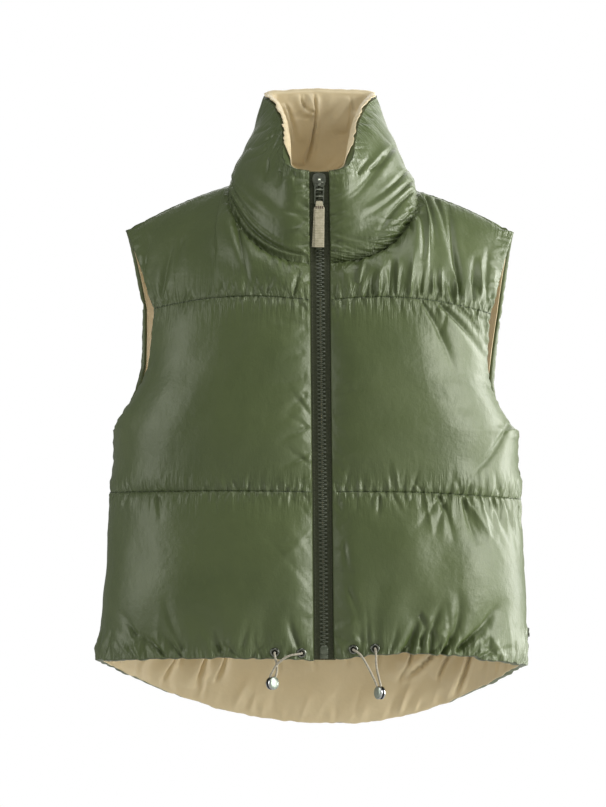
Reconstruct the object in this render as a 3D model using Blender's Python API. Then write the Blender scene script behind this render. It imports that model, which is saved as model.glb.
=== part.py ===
"""A cropped puffer vest with a tall collar, standing hollow as it does when it is worn.

Metres, +Z up. The front faces -Y, the wearer's right side is at -X. The origin is the middle of
the neck's base, level with the tops of the shoulder seams.

The shell is cut as two fronts, a back and a collar. Each is a padded wall: a plain inside, and an
outside that swells between the quilting seams. A thin lining panel lies inside each of them.
"""

import math

import bpy
import numpy as np
from mathutils import Matrix, Vector
from mathutils.bvhtree import BVHTree

# ---- driving dimensions -------------------------------------------------------------------

SEAM_GAP = 0.0003  # between pieces that are sewn or set against each other
RIGHT, LEFT = -1, 1  # the wearer's sides, as signs of X

SEAM_WALL = 0.0042  # the padded wall, pressed flat in a seam
LINING_WALL = 0.0014
SQUARENESS = 2.5  # exponent of the torso's section: 2 is an ellipse

# The cut's main heights. Centre is at the zip on the fronts and at the spine on the back. Each
# side's rise lifts the line half way out, and its end is at the side seam or the armhole.
LEVEL_COLUMNS = ("centre", "right_rise", "right_end", "left_rise", "left_end")
FRONT_LEVELS = {
    "hem": (-0.4660, 0.0030, -0.4680, 0.0030, -0.4725),
    "lower_seam": (-0.2995, 0.0015, -0.3005, 0.0015, -0.3070),
    "underarm": (-0.2400, 0.0000, -0.2400, 0.0000, -0.2440),
    "chest_seam": (-0.1100, 0.0060, -0.1170, 0.0060, -0.1220),
}
BACK_LEVELS = {
    "hem": (-0.5315, 0.0010, -0.4680, -0.0040, -0.4725),
    "lower_seam": (-0.3030, 0.0000, -0.3005, 0.0000, -0.3070),
    "underarm": (-0.2380, 0.0000, -0.2400, 0.0000, -0.2440),
    "chest_seam": (-0.1020, 0.0040, -0.1170, 0.0040, -0.1220),
}
ROWS_LOWER = 8  # rows of the cut in the lower chamber
ROWS_SIDE = 4  # from the lower seam to the underarm
ROWS_ARMHOLE = 6  # from the underarm to the chest seam
ROWS_YOKE = 8  # from the chest seam to the neck and shoulder
ROWS_COLLAR = 10
SIDE_EASE = 1.4  # above 1 packs the rows below the underarm towards the lower seam
ROW_PACKING = 0.75  # share of a cosine spacing, which packs rows towards the seams

# The torso's plain inside: how deep it is in front of and behind the side seams.
DEPTH_COLUMNS = ("z", "front", "back")
DEPTHS = (
    (-0.540, 0.112, 0.104),
    (-0.470, 0.115, 0.108),
    (-0.400, 0.118, 0.110),
    (-0.300, 0.117, 0.108),
    (-0.200, 0.117, 0.112),
    (-0.110, 0.113, 0.110),
    (-0.090, 0.112, 0.108),
)

# Where each panel ends at its side: X on both sides, how far the back reaches past the front,
# and Y of the front's and the back's edge. Y is 0 on the side seam and opens at the armhole.
EDGE_COLUMNS = ("z", "right", "left", "past", "front_y", "back_y")
EDGES = (
    (-0.475, 0.2165, 0.2020, 0.000, 0.000, 0.000),
    (-0.458, 0.2155, 0.2025, 0.000, 0.000, 0.000),
    (-0.438, 0.2095, 0.2000, 0.000, 0.000, 0.000),
    (-0.410, 0.2055, 0.1985, 0.000, 0.000, 0.000),
    (-0.370, 0.2020, 0.1970, 0.000, 0.000, 0.000),
    (-0.330, 0.2020, 0.1960, 0.000, 0.000, 0.000),
    (-0.300, 0.2030, 0.1980, 0.000, 0.000, 0.000),
    (-0.270, 0.1990, 0.1940, 0.000, 0.000, 0.000),
    (-0.241, 0.1980, 0.1930, 0.000, 0.000, 0.000),
    (-0.236, 0.1965, 0.1885, 0.000, 0.019, 0.021),
    (-0.229, 0.1935, 0.1840, 0.000, 0.028, 0.031),
    (-0.218, 0.1870, 0.1765, 0.000, 0.036, 0.040),
    (-0.205, 0.1780, 0.1700, 0.001, 0.044, 0.049),
    (-0.190, 0.1700, 0.1655, 0.002, 0.050, 0.056),
    (-0.170, 0.1635, 0.1645, 0.004, 0.054, 0.061),
    (-0.140, 0.1610, 0.1665, 0.006, 0.055, 0.062),
    (-0.117, 0.1600, 0.1690, 0.007, 0.052, 0.059),
)

# Neck seam: two half rings that share their ends at the shoulders. The front one is squarer in
# plan, so that it follows the slope from the shoulders down to the chest.
NECK_HALF_WIDTH = {RIGHT: 0.0860, LEFT: 0.0955}
NECK_FRONT = 0.1000
NECK_FRONT_ROUNDING = 0.60
NECK_BACK = 0.0700
NECK_SIDE_Z = {RIGHT: 0.0030, LEFT: -0.0020}
NECK_FRONT_Z = -0.0730
NECK_BACK_Z = 0.0080

YOKE_TURN = (0.5, 0.33, 0.66)  # where the yoke turns over, as shares of its run to the top seam
SHOULDER_TIP = {RIGHT: (-0.1890, 0.0060, -0.0420), LEFT: (0.1925, 0.0060, -0.0440)}
SHOULDER_BOW = 0.0035  # how far the shoulder seam rises above a straight line

# Collar's top edge, on its plain inside: X on both sides, Y and Z. The front part runs from the
# zip round the front corner to beside the neck, the back part on round the back corner to the
# nape, where the edge is nearly straight.
RIM_COLUMNS = ("right", "left", "y", "z")
RIM_FRONT_PART = (
    (-0.0098, 0.0118, -0.0880, 0.0190),
    (-0.0200, 0.0200, -0.0885, 0.0205),
    (-0.0275, 0.0265, -0.0820, 0.0260),
    (-0.0285, 0.0310, -0.0500, 0.0470),
    (-0.0320, 0.0360, -0.0100, 0.0680),
)
RIM_BACK_PART = (
    (-0.0320, 0.0360, -0.0100, 0.0680),
    (-0.0385, 0.0435, 0.0300, 0.0860),
    (-0.0450, 0.0500, 0.0550, 0.0960),
    (-0.0410, 0.0460, 0.0585, 0.0985),
    (0.0000, 0.0000, 0.0600, 0.1005),
)
RIM_FRONT_Z = RIM_FRONT_PART[0][3]
COLLAR_HOLLOW = 0.0055  # how far the collar's plain inside is drawn in from a straight cone

COLUMNS_NECK_FRONT = 12  # columns of the cut from the zip to the shoulder seam
COLUMNS_SHOULDER = 10
COLUMNS_NECK_BACK = 20

# Zip: the two tapes between the fronts' edges, and the closed chain between the tapes.
ZIP_HALF_WIDTH = 0.0108
ZIP_LEAN_TOP = 0.0010  # the zip's own X at the collar and at the hem
ZIP_LEAN_HEM = 0.0060
TAPE_WALL = 0.0012
CHAIN_HALF_WIDTH = 0.0042
CHAIN_BACK = 0.0004  # how far the chain reaches behind the tapes' backs, and before them
CHAIN_FRONT = 0.0026
CHAIN_TOP = 0.0113  # where the chain ends inside the slider
BOX_ABOVE_HEM = 0.0010
BOX_TALL = 0.0135
BOX_PROUD = 0.0006  # how far the box at the chain's foot stands out on both sides

# Padding. Each chamber's columns are its first and last row, its greatest swell past its seams,
# and how far up the swell already is at a low and a high edge that is open rather than quilted,
# as shares of its half turn.
LOWER_TOP = ROWS_LOWER
CHEST_ROW = ROWS_LOWER + ROWS_SIDE + ROWS_ARMHOLE
BODY_ROWS = CHEST_ROW + ROWS_YOKE
BODY_CHAMBERS = {
    "lower": (0, LOWER_TOP, 0.0130, 0.08, 0.00),
    "middle": (LOWER_TOP, CHEST_ROW, 0.0120, 0.00, 0.00),
    "yoke": (CHEST_ROW, BODY_ROWS, 0.0105, 0.00, 0.00),
}
COLLAR_CHAMBERS = {"collar": (0, ROWS_COLLAR, 0.0115, 0.00, 0.10)}
PUFF_ROUNDNESS = 0.52  # below 1 the swell rises steeply from a seam and is flat in the middle
EDGE_SHARE = 0.20  # what is left of the swell at a panel's side edge
EDGE_REACH = 0.045
NECK_SEAM_REACH = 0.015  # the swell stays low this near the neck seam, where two walls meet

# The deepest folds of the outer cloth, each a soft trough along a line seen from the front (or,
# on the back, from behind with the same X). A negative depth is a ridge.
FOLD_COLUMNS = ("x0", "z0", "x1", "z1", "depth", "width")
FOLDS = {
    "front_right": (
        (-0.164, -0.132, -0.140, -0.106, 0.0060, 0.010),
        (-0.166, -0.053, -0.168, -0.088, 0.0040, 0.009),
        (-0.144, -0.063, -0.152, -0.108, 0.0040, 0.010),
        (-0.098, -0.060, -0.060, -0.104, 0.0040, 0.010),
        (-0.060, -0.080, -0.045, -0.110, 0.0030, 0.009),
        (-0.175, -0.440, -0.120, -0.462, 0.0060, 0.013),
        (-0.110, -0.420, -0.095, -0.465, 0.0050, 0.012),
        (-0.050, -0.415, -0.060, -0.465, 0.0040, 0.011),
        (-0.195, -0.320, -0.160, -0.380, 0.0030, 0.014),
        (-0.025, -0.320, -0.022, -0.430, -0.0020, 0.012),
    ),
    "front_left": (
        (0.038, -0.060, 0.042, -0.106, 0.0040, 0.009),
        (0.076, -0.048, 0.070, -0.106, 0.0045, 0.009),
        (0.102, -0.035, 0.096, -0.104, -0.0030, 0.009),
        (0.137, -0.050, 0.132, -0.108, 0.0040, 0.010),
        (0.137, -0.118, 0.169, -0.176, 0.0055, 0.010),
        (0.102, -0.111, 0.129, -0.183, 0.0040, 0.011),
        (0.150, -0.112, 0.172, -0.150, 0.0040, 0.009),
        (0.182, -0.233, 0.142, -0.288, 0.0050, 0.012),
        (0.171, -0.413, 0.137, -0.453, 0.0070, 0.013),
        (0.095, -0.400, 0.085, -0.458, 0.0050, 0.012),
        (0.060, -0.395, 0.055, -0.452, 0.0050, 0.011),
        (0.130, -0.305, 0.150, -0.350, 0.0035, 0.011),
        (0.030, -0.315, 0.032, -0.420, -0.0020, 0.012),
    ),
    "back": (
        (-0.150, -0.055, -0.140, -0.105, 0.0040, 0.010),
        (-0.070, -0.030, -0.062, -0.095, 0.0040, 0.010),
        (-0.020, -0.010, -0.024, -0.090, 0.0030, 0.010),
        (0.045, -0.020, 0.040, -0.090, 0.0040, 0.010),
        (0.095, -0.040, 0.085, -0.098, 0.0035, 0.010),
        (0.150, -0.055, 0.142, -0.105, 0.0040, 0.010),
        (-0.165, -0.130, -0.120, -0.180, 0.0045, 0.012),
        (0.165, -0.130, 0.115, -0.175, 0.0045, 0.012),
        (-0.185, -0.240, -0.130, -0.285, 0.0040, 0.012),
        (0.180, -0.240, 0.120, -0.290, 0.0040, 0.012),
        (-0.150, -0.430, -0.120, -0.490, 0.0055, 0.013),
        (-0.070, -0.440, -0.055, -0.520, 0.0050, 0.013),
        (0.010, -0.450, 0.000, -0.525, 0.0045, 0.013),
        (0.080, -0.440, 0.070, -0.515, 0.0050, 0.013),
        (0.150, -0.425, 0.130, -0.490, 0.0055, 0.013),
    ),
    "collar": (
        (-0.086, -0.018, -0.030, -0.052, 0.0055, 0.009),
        (-0.080, 0.010, -0.020, -0.022, 0.0045, 0.009),
        (0.094, -0.010, 0.035, -0.045, 0.0055, 0.009),
        (0.088, 0.020, 0.040, -0.012, 0.0040, 0.010),
        (-0.045, 0.018, -0.052, 0.050, 0.0030, 0.009),
        (0.045, 0.020, 0.056, 0.060, 0.0030, 0.009),
    ),
}

# The collar's folds come again behind the neck, shallower and this many columns farther round.
NAPE_FOLD_SHARE = 0.6
NAPE_FOLD_COLUMNS = 5

# Hem cord: an elastic cord leaves one eyelet, passes through a round lock and returns by the
# other. X and Z of the four front eyelets and of the one at the left side seam.
EYELET_RADIUS = 0.0048
EYELET_HOLE = 0.0023
EYELET_WALL = 0.0014
EYELETS = {
    "eyelet_right_outer": (-0.0430, -0.4585),
    "eyelet_right_inner": (-0.0165, -0.4590),
    "eyelet_left_inner": (0.0350, -0.4555),
    "eyelet_left_outer": (0.0565, -0.4545),
}
SIDE_EYELET_Z = -0.4400
SIDE_EYELET_IN_FRONT = 0.0220  # how far before the side seam it is set
SIDE_EYELET_LIFT = 0.0010  # above the padded wall, which curves under it
CORD_DIAMETER = 0.0022
LOCK_RADIUS = 0.0066
LOCK_WALL = 0.0064
LOCK_GROOVE = 0.0011
LOCK_GROOVE_DEPTH = 0.0012
LOCK_CHAMFER = 0.0006
# X and Z of each lock, which hangs under its strands' ends, and the turn of its face away from
# the front in degrees.
LOCKS = {
    "cord_lock_right": (-0.0455, -0.4890, 42.0),
    "cord_lock_left": (0.0612, -0.4985, -57.0),
}
# Each strand leaves its eyelet's hole along the eyelet's axis and then follows its own route down
# to its lock: X, how far it stands out in front of the eyelet's seat, and Z.
STRAND_EYELETS = {
    "hem_cord_right_a": "eyelet_right_inner",
    "hem_cord_right_b": "eyelet_right_outer",
    "hem_cord_left_a": "eyelet_left_inner",
    "hem_cord_left_b": "eyelet_left_outer",
}
STRAND_ROUTES = {
    "hem_cord_right_a": (
        (-0.0210, 0.0056, -0.4602),
        (-0.0262, 0.0066, -0.4611),
        (-0.0325, 0.0066, -0.4636),
        (-0.0380, 0.0060, -0.4676),
        (-0.0425, 0.0050, -0.4726),
        (-0.0455, 0.0038, -0.4780),
        (-0.0474, 0.0026, -0.4822),
    ),
    "hem_cord_right_b": (
        (-0.0426, 0.0046, -0.4634),
        (-0.0416, 0.0032, -0.4672),
        (-0.0410, 0.0022, -0.4712),
        (-0.0410, 0.0018, -0.4765),
        (-0.0422, 0.0018, -0.4822),
    ),
    "hem_cord_left_a": (
        (0.0388, 0.0058, -0.4580),
        (0.0422, 0.0060, -0.4610),
        (0.0454, 0.0054, -0.4656),
        (0.0492, 0.0046, -0.4722),
        (0.0530, 0.0038, -0.4796),
        (0.0564, 0.0028, -0.4868),
        (0.0582, 0.0024, -0.4915),
    ),
    "hem_cord_left_b": (
        (0.0572, 0.0056, -0.4586),
        (0.0574, 0.0052, -0.4632),
        (0.0576, 0.0044, -0.4690),
        (0.0586, 0.0036, -0.4765),
        (0.0606, 0.0028, -0.4850),
        (0.0620, 0.0024, -0.4915),
    ),
}
CORD_EXIT = (0.0004, 0.0030)  # along the eyelet's axis: where the cord starts, and its next point

# Slider, its pull frame and the webbing tag that hangs from the frame.
SLIDER_Z = 0.0098  # middle of the slider's body
SLIDER_TALL = 0.0144
SLIDER_HALF_WIDTH = 0.0068
SLIDER_PLATE = 0.0013
SLIDER_FACE = CHAIN_FRONT + SEAM_GAP + SLIDER_PLATE  # its front face, before the tapes' backs
POST_HALF_WIDTH = 0.0022
HINGE_Z = 0.0075
HINGE_OUT = 0.0021  # from the slider's face to the pull's axis
BRIDGE_HALF_WIDTH = 0.0015
BRIDGE_WALL = 0.0009
BRIDGE_FOOT = 0.0046  # half the bridge's height at its feet and at its beam
BRIDGE_BEAM = 0.0026
PULL_BAR = 0.0008  # radius of the pull's cross bar on the axis
PULL_LEG = 0.0014
PULL_HALF_WIDTH = 0.0050
PULL_RUNGS = (0.0000, 0.0072, 0.0141, 0.0208)  # below the axis
TAG_HALF_WIDTH = 0.0050
TAG_PLY = 0.0010
TAG_WALL = 0.0024
TAG_TOP = 0.0234
TAG_BOTTOM = 0.0653

SHELL_COLOUR = (0.105, 0.150, 0.062)
LINING_COLOUR = (0.430, 0.320, 0.190)
TAPE_COLOUR = (0.030, 0.034, 0.015)
CHAIN_COLOUR = (0.050, 0.060, 0.034)
METAL_COLOUR = (0.620, 0.640, 0.620)
CORD_COLOUR = (0.560, 0.490, 0.390)
TAG_COLOUR = (0.420, 0.390, 0.260)


# ---- tables and curves --------------------------------------------------------------------


def column(table, columns, name):
    """One named column of a table, as an array."""
    return np.array([row[columns.index(name)] for row in table])


def smooth(at, stations, values):
    """Values between stations on a monotone cubic: it bends softly and never overshoots."""
    gap = np.diff(stations)
    slope = np.diff(values) / gap
    product = slope[:-1] * slope[1:]
    total = np.where(product > 0, slope[:-1] + slope[1:], 1.0)
    inner = np.where(product > 0, 2 * product / total, 0.0)
    tangent = np.concatenate([slope[:1], inner, slope[-1:]])
    at = np.clip(at, stations[0], stations[-1])
    cell = np.clip(np.searchsorted(stations, at, side="right") - 1, 0, len(gap) - 1)
    t = (at - stations[cell]) / gap[cell]
    return (
        values[cell] * (1 + 2 * t) * (1 - t) ** 2
        + tangent[cell] * gap[cell] * t * (1 - t) ** 2
        + values[cell + 1] * t**2 * (3 - 2 * t)
        - tangent[cell + 1] * gap[cell] * t**2 * (1 - t)
    )


def lengths_along(points):
    """Length from the start of a line to each of its points."""
    steps = np.linalg.norm(np.diff(points, axis=0), axis=-1)
    return np.concatenate([np.zeros((1, *steps.shape[1:])), np.cumsum(steps, axis=0)])


def evenly(points, count):
    """The same line with count + 1 points, evenly spaced along it."""
    along = lengths_along(points)
    at = np.linspace(0, along[-1], count + 1)
    return np.stack([np.interp(at, along, points[:, k]) for k in range(3)], axis=1)


def unit(vectors):
    return vectors / np.linalg.norm(vectors, axis=-1, keepdims=True)


# ---- the cut: each panel's plain inside as a grid of points ------------------------------


def zip_lean(z):
    """X of the zip's middle at a height."""
    share = (RIM_FRONT_Z - z) / (RIM_FRONT_Z - FRONT_LEVELS["hem"][0])
    return ZIP_LEAN_TOP + (ZIP_LEAN_HEM - ZIP_LEAN_TOP) * share


def packed(count):
    """Shares from 0 to 1, closer together towards both ends."""
    even = np.arange(count + 1) / count
    return ROW_PACKING * (1 - np.cos(np.pi * even)) / 2 + (1 - ROW_PACKING) * even


def level_rows(levels, side):
    """Centre height, rise and end height of every row from the hem to the chest seam."""
    own = "right" if side == RIGHT else "left"
    wanted = [LEVEL_COLUMNS.index(name) for name in ("centre", own + "_rise", own + "_end")]
    hem, lower, underarm, chest = (np.array(levels[name])[wanted] for name in levels)
    side_share = (np.arange(ROWS_SIDE) / ROWS_SIDE) ** SIDE_EASE
    return np.concatenate(
        [
            hem + (lower - hem) * packed(ROWS_LOWER)[:-1, None],
            lower + (underarm - lower) * side_share[:, None],
            underarm + (chest - underarm) * packed(ROWS_ARMHOLE)[:, None],
        ]
    )


def torso_row(face, side, centre_z, rise, side_z, count):
    """One row of a panel, from the centre line out to the side seam or the armhole.

    The section is a quarter of a superellipse. Its width is set so that it passes through the
    panel's edge, and the row's height runs from the centre's to the side's with the square of X.
    """
    z_table = column(EDGES, EDGE_COLUMNS, "z")
    edge = {n: smooth(side_z, z_table, column(EDGES, EDGE_COLUMNS, n)) for n in EDGE_COLUMNS[1:]}
    edge_x = edge["right"] if side == RIGHT else edge["left"]
    edge_x = edge_x + (edge["past"] if face == "back" else 0.0)
    edge_y = edge[face + "_y"]
    depth_z = column(DEPTHS, DEPTH_COLUMNS, "z")
    depths = column(DEPTHS, DEPTH_COLUMNS, face)
    edge_depth = smooth(side_z, depth_z, depths)
    width = edge_x / (1 - (edge_y / edge_depth) ** SQUARENESS) ** (1 / SQUARENESS)
    inner_x = ZIP_HALF_WIDTH if face == "front" else 0.0
    start = math.asin((inner_x / width) ** (SQUARENESS / 2))
    end = math.asin(min(1.0, (edge_x / width) ** (SQUARENESS / 2)))
    angle = np.linspace(start, end, 240)
    x = width * np.sin(angle) ** (2 / SQUARENESS)
    share = x / edge_x
    z = centre_z + (side_z - centre_z) * share**2 + rise * np.sin(np.pi * share)
    y = smooth(z, depth_z, depths) * np.clip(np.cos(angle), 0, 1) ** (2 / SQUARENESS)
    x = side * x + zip_lean(z) * (1 - share) * (face == "front")
    y = -y if face == "front" else y
    return evenly(np.stack([x, y, z], axis=1), count)


def neck(side, turn):
    """Points of the neck seam. Turn is 0 at the zip, a quarter at the shoulder, half behind."""
    before = np.clip(np.cos(turn), 0, 1)
    behind = np.clip(-np.cos(turn), 0, 1)
    side_z = NECK_SIDE_Z[side]
    z = side_z + (NECK_FRONT_Z - side_z) * before + (NECK_BACK_Z - side_z) * behind
    x = side * (NECK_HALF_WIDTH[side] * np.sin(turn) + ZIP_HALF_WIDTH * before)
    y = NECK_BACK * behind - NECK_FRONT * before**NECK_FRONT_ROUNDING
    return np.stack([x + zip_lean(z) * before, y, z], axis=-1)


def rim(side, part, count):
    """One part of the collar's top edge, as count + 1 points spaced evenly along it."""
    own = "right" if side == RIGHT else "left"
    stations = np.stack([column(part, RIM_COLUMNS, name) for name in (own, "y", "z")], axis=1)
    along = lengths_along(stations)
    at = np.linspace(0, along[-1], 20 * len(part))
    line = np.stack([smooth(at, along, stations[:, k]) for k in range(3)], axis=1)
    return evenly(line, count)


def shoulder(side):
    """The shoulder seam from the neck out to its tip, leaving out its first point."""
    start = neck(side, np.array(math.pi / 2))
    share = (np.arange(1, COLUMNS_SHOULDER + 1) / COLUMNS_SHOULDER)[:, None]
    line = start + (np.array(SHOULDER_TIP[side]) - start) * share
    return line + np.array([0.0, 0.0, SHOULDER_BOW]) * np.sin(np.pi * share)


def yoke_rows(chest, top):
    """Rows over the chest and up to the top seam: each column is a quadratic curve that first
    keeps its depth while it climbs, then turns back to the seam."""
    turn_at = chest + (top - chest) * np.array(YOKE_TURN)
    t = packed(ROWS_YOKE)[1:, None, None]
    return chest * (1 - t) ** 2 + 2 * turn_at * t * (1 - t) + top * t**2


def front_panel(side):
    """Grid of a front: rows from the hem up, columns from the zip out."""
    count = COLUMNS_NECK_FRONT + COLUMNS_SHOULDER
    rows = [torso_row("front", side, *row, count) for row in level_rows(FRONT_LEVELS, side)]
    turn = np.linspace(0, math.pi / 2, COLUMNS_NECK_FRONT + 1)
    top = np.concatenate([neck(side, turn), shoulder(side)])
    return np.concatenate([np.array(rows), yoke_rows(rows[-1], top)])


def back_panel():
    """Grid of the back: rows from the hem up, columns from the right side round to the left."""
    half = COLUMNS_NECK_BACK // 2
    count = half + COLUMNS_SHOULDER
    halves = [
        np.array([torso_row("back", side, *row, count) for row in level_rows(BACK_LEVELS, side)])
        for side in (RIGHT, LEFT)
    ]
    rows = np.concatenate([halves[0][:, ::-1], halves[1][:, 1:]], axis=1)
    turn = np.linspace(math.pi / 2, math.pi, half + 1)
    top = np.concatenate(
        [
            shoulder(RIGHT)[::-1],
            neck(RIGHT, turn),
            neck(LEFT, turn[::-1])[1:],
            shoulder(LEFT),
        ]
    )
    return np.concatenate([rows, yoke_rows(rows[-1], top)])


def collar_panel():
    """Grid of the collar: rows from the neck seam up, columns from the right front edge round
    the nape to the left front edge."""
    front_turn = np.linspace(0, math.pi / 2, COLUMNS_NECK_FRONT + 1)
    back_turn = np.linspace(math.pi / 2, math.pi, COLUMNS_NECK_BACK // 2 + 1)
    turn = np.concatenate([front_turn, back_turn[1:]])
    low = np.concatenate([neck(RIGHT, turn), neck(LEFT, turn[::-1])[1:]])
    right, left = (
        np.concatenate(
            [
                rim(side, RIM_FRONT_PART, COLUMNS_NECK_FRONT),
                rim(side, RIM_BACK_PART, COLUMNS_NECK_BACK // 2)[1:],
            ]
        )
        for side in (RIGHT, LEFT)
    )
    high = np.concatenate([right, left[::-1][1:]])
    around = np.concatenate([turn, turn[::-1][1:]])
    side = np.concatenate([np.full(len(turn), RIGHT), np.full(len(turn) - 1, LEFT)])
    share = packed(ROWS_COLLAR)[:, None, None]
    outward = np.stack([side * np.sin(around), -np.cos(around), np.zeros_like(around)], axis=1)
    drawn_in = COLLAR_HOLLOW * np.sin(np.pi * share) * (np.sin(around) ** 2)[:, None]
    return low + (high - low) * share - outward * drawn_in


def panel_normals(grid):
    """Outward normals of a grid of points, one-sided along its borders."""
    across = np.gradient(grid, axis=1)
    up = np.gradient(grid, axis=0)
    normals = unit(np.cross(across, up))
    middle = grid.mean(axis=(0, 1)) * np.array([0.0, 0.0, 1.0])
    facing = ((grid - middle) * normals).sum()
    return normals if facing > 0 else -normals


def shared_normals(panels):
    """Normals of all panels, made the same wherever two panels share a seam point."""
    normals = {name: panel_normals(grid) for name, grid in panels.items()}
    points = np.concatenate([grid.reshape(-1, 3) for grid in panels.values()])
    stacked = np.concatenate([normals[name].reshape(-1, 3) for name in panels])
    _, which = np.unique(np.round(points, 6), axis=0, return_inverse=True)
    which = which.reshape(-1)
    total = np.zeros((which.max() + 1, 3))
    np.add.at(total, which, stacked)
    stacked = unit(total)[which]
    start = 0
    for name, grid in panels.items():
        size = grid.shape[0] * grid.shape[1]
        turned_to_seam = stacked[start : start + size].reshape(grid.shape).copy()
        softer = turned_to_seam[:-2] + 2 * turned_to_seam[1:-1] + turned_to_seam[2:]
        turned_to_seam[1:-1] = unit(softer)
        normals[name] = turned_to_seam
        start += size
    return normals


# ---- padding ------------------------------------------------------------------------------


def chamber_swell(grid, chambers):
    """Swell of the outer cloth over each chamber: nothing at its seams, full between them."""
    up = lengths_along(grid)
    swell = np.zeros(grid.shape[:2])
    for first, last, puff, low, high in chambers.values():
        part = slice(first, last + 1)
        share = (up[part] - up[first]) / (up[last] - up[first])
        turn = np.pi * (low + (1 - low - high) * share)
        swell[part] = np.maximum(swell[part], puff * np.sin(turn) ** PUFF_ROUNDNESS)
    return swell


def edge_ease(grid):
    """Share of the swell that is left near a panel's two side edges."""
    across = lengths_along(grid.transpose(1, 0, 2)).T
    from_edge = np.minimum(across, across[:, -1:] - across)
    return EDGE_SHARE + (1 - EDGE_SHARE) * (1 - np.exp(-from_edge / EDGE_REACH))


def fold_depth(points, folds):
    """Depth of all of a panel's folds at its points, each a bell across a line that fades at
    both of its ends."""
    depth = np.zeros(points.shape[:2])
    flat = points[..., [0, 2]]
    for row in folds:
        fold = dict(zip(FOLD_COLUMNS, row))
        start = np.array([fold["x0"], fold["z0"]])
        run = np.array([fold["x1"], fold["z1"]]) - start
        share = ((flat - start) @ run) / (run @ run)
        nearest = start + np.clip(share, 0, 1)[..., None] * run
        distance = np.linalg.norm(flat - nearest, axis=-1)
        fade = np.cos(np.clip(share - 0.5, -0.75, 0.75) * np.pi * 2 / 3)
        depth += fold["depth"] * np.exp(-((distance / fold["width"]) ** 2)) * fade
    return depth


def neck_ease(name, grid):
    """Share of the swell near the neck seam, which is a body panel's last row and the collar's
    first."""
    up = lengths_along(grid)
    from_seam = up if name == "collar" else up[-1] - up
    return 1 - np.exp(-((from_seam / NECK_SEAM_REACH) ** 2))


def outer_points(name, grid, normals, chambers):
    """The padded wall's outside: the seam's wall, plus the swell, less the folds."""
    swell = chamber_swell(grid, chambers) * edge_ease(grid) * neck_ease(name, grid)
    fold = fold_depth(grid, FOLDS[name])
    if name == "collar":
        behind = NAPE_FOLD_SHARE * np.roll(fold, NAPE_FOLD_COLUMNS, axis=1)
        fold = np.where(grid[..., 1] < 0.0, fold, behind)
    swell = np.maximum(swell - fold * np.clip(swell / 0.008, 0, 1), 0.0)
    return grid + normals * (SEAM_WALL + swell)[..., None]


# ---- meshes -------------------------------------------------------------------------------


def material(name, colour, roughness, metallic=0.0):
    made = bpy.data.materials.new(name)
    made.use_nodes = True
    shader = made.node_tree.nodes["Principled BSDF"]
    shader.inputs["Base Color"].default_value = (*colour, 1.0)
    shader.inputs["Roughness"].default_value = roughness
    shader.inputs["Metallic"].default_value = metallic
    return made


def add_object(name, vertices, faces, finish, sharp_degrees=50.0):
    """An object from points and faces, smooth but for its sharp edges."""
    mesh = bpy.data.meshes.new(name)
    mesh.from_pydata([tuple(v) for v in vertices], [], [tuple(f) for f in faces])
    mesh.validate()
    mesh.shade_smooth()
    mesh.set_sharp_from_angle(angle=math.radians(sharp_degrees))
    mesh.materials.append(finish)
    made = bpy.data.objects.new(name, mesh)
    bpy.context.scene.collection.objects.link(made)
    return made


def pulled_in(grid, gap):
    """The grid with its border moved in by gap, so that neighbouring pieces stay apart."""
    pulled = grid.copy()
    pulled[0] += gap * unit(grid[1] - grid[0])
    pulled[-1] += gap * unit(grid[-2] - grid[-1])
    pulled[:, 0] += gap * unit(grid[:, 1] - grid[:, 0])
    pulled[:, -1] += gap * unit(grid[:, -2] - grid[:, -1])
    return pulled


def border(rows, columns, start):
    """Indices of a grid's border points, once round."""
    index = np.arange(rows * columns).reshape(rows, columns) + start
    return np.concatenate([index[0, :-1], index[:-1, -1], index[-1, :0:-1], index[:0:-1, 0]])


def grid_triangles(rows, columns, start):
    index = np.arange(rows * columns).reshape(rows, columns) + start
    a, b, c, d = index[:-1, :-1], index[:-1, 1:], index[1:, 1:], index[1:, :-1]
    both = [np.stack([a, b, c], axis=-1), np.stack([a, c, d], axis=-1)]
    return np.concatenate([part.reshape(-1, 3) for part in both])


def facing_out(vertices, faces):
    """The faces, turned over if they enclose a negative volume."""
    corners = [vertices[faces[:, k]] for k in range(3)]
    volume = (corners[0] * np.cross(corners[1], corners[2])).sum()
    return faces if volume > 0 else faces[:, ::-1]


def padded_wall(name, inside, outside, finish):
    """A closed wall with a fine outside and an inside of every second point."""
    fine = pulled_in(outside, SEAM_GAP / 2)
    coarse = pulled_in(inside, SEAM_GAP / 2)[::2, ::2]
    rows, columns = fine.shape[:2]
    low_rows, low_columns = coarse.shape[:2]
    vertices = np.concatenate([fine.reshape(-1, 3), coarse.reshape(-1, 3)])
    outer_faces = grid_triangles(rows, columns, 0)
    inner_faces = grid_triangles(low_rows, low_columns, rows * columns)[:, ::-1]
    ring = border(rows, columns, 0)
    low = border(low_rows, low_columns, rows * columns)
    first, middle, last = ring[::2], ring[1::2], np.roll(ring[::2], -1)
    low_next = np.roll(low, -1)
    sides = np.concatenate(
        [
            np.stack([middle, first, low], axis=1),
            np.stack([middle, low, low_next], axis=1),
            np.stack([last, middle, low_next], axis=1),
        ]
    )
    faces = facing_out(vertices, np.concatenate([outer_faces, inner_faces, sides]))
    return add_object(name, vertices, faces, finish)


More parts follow.
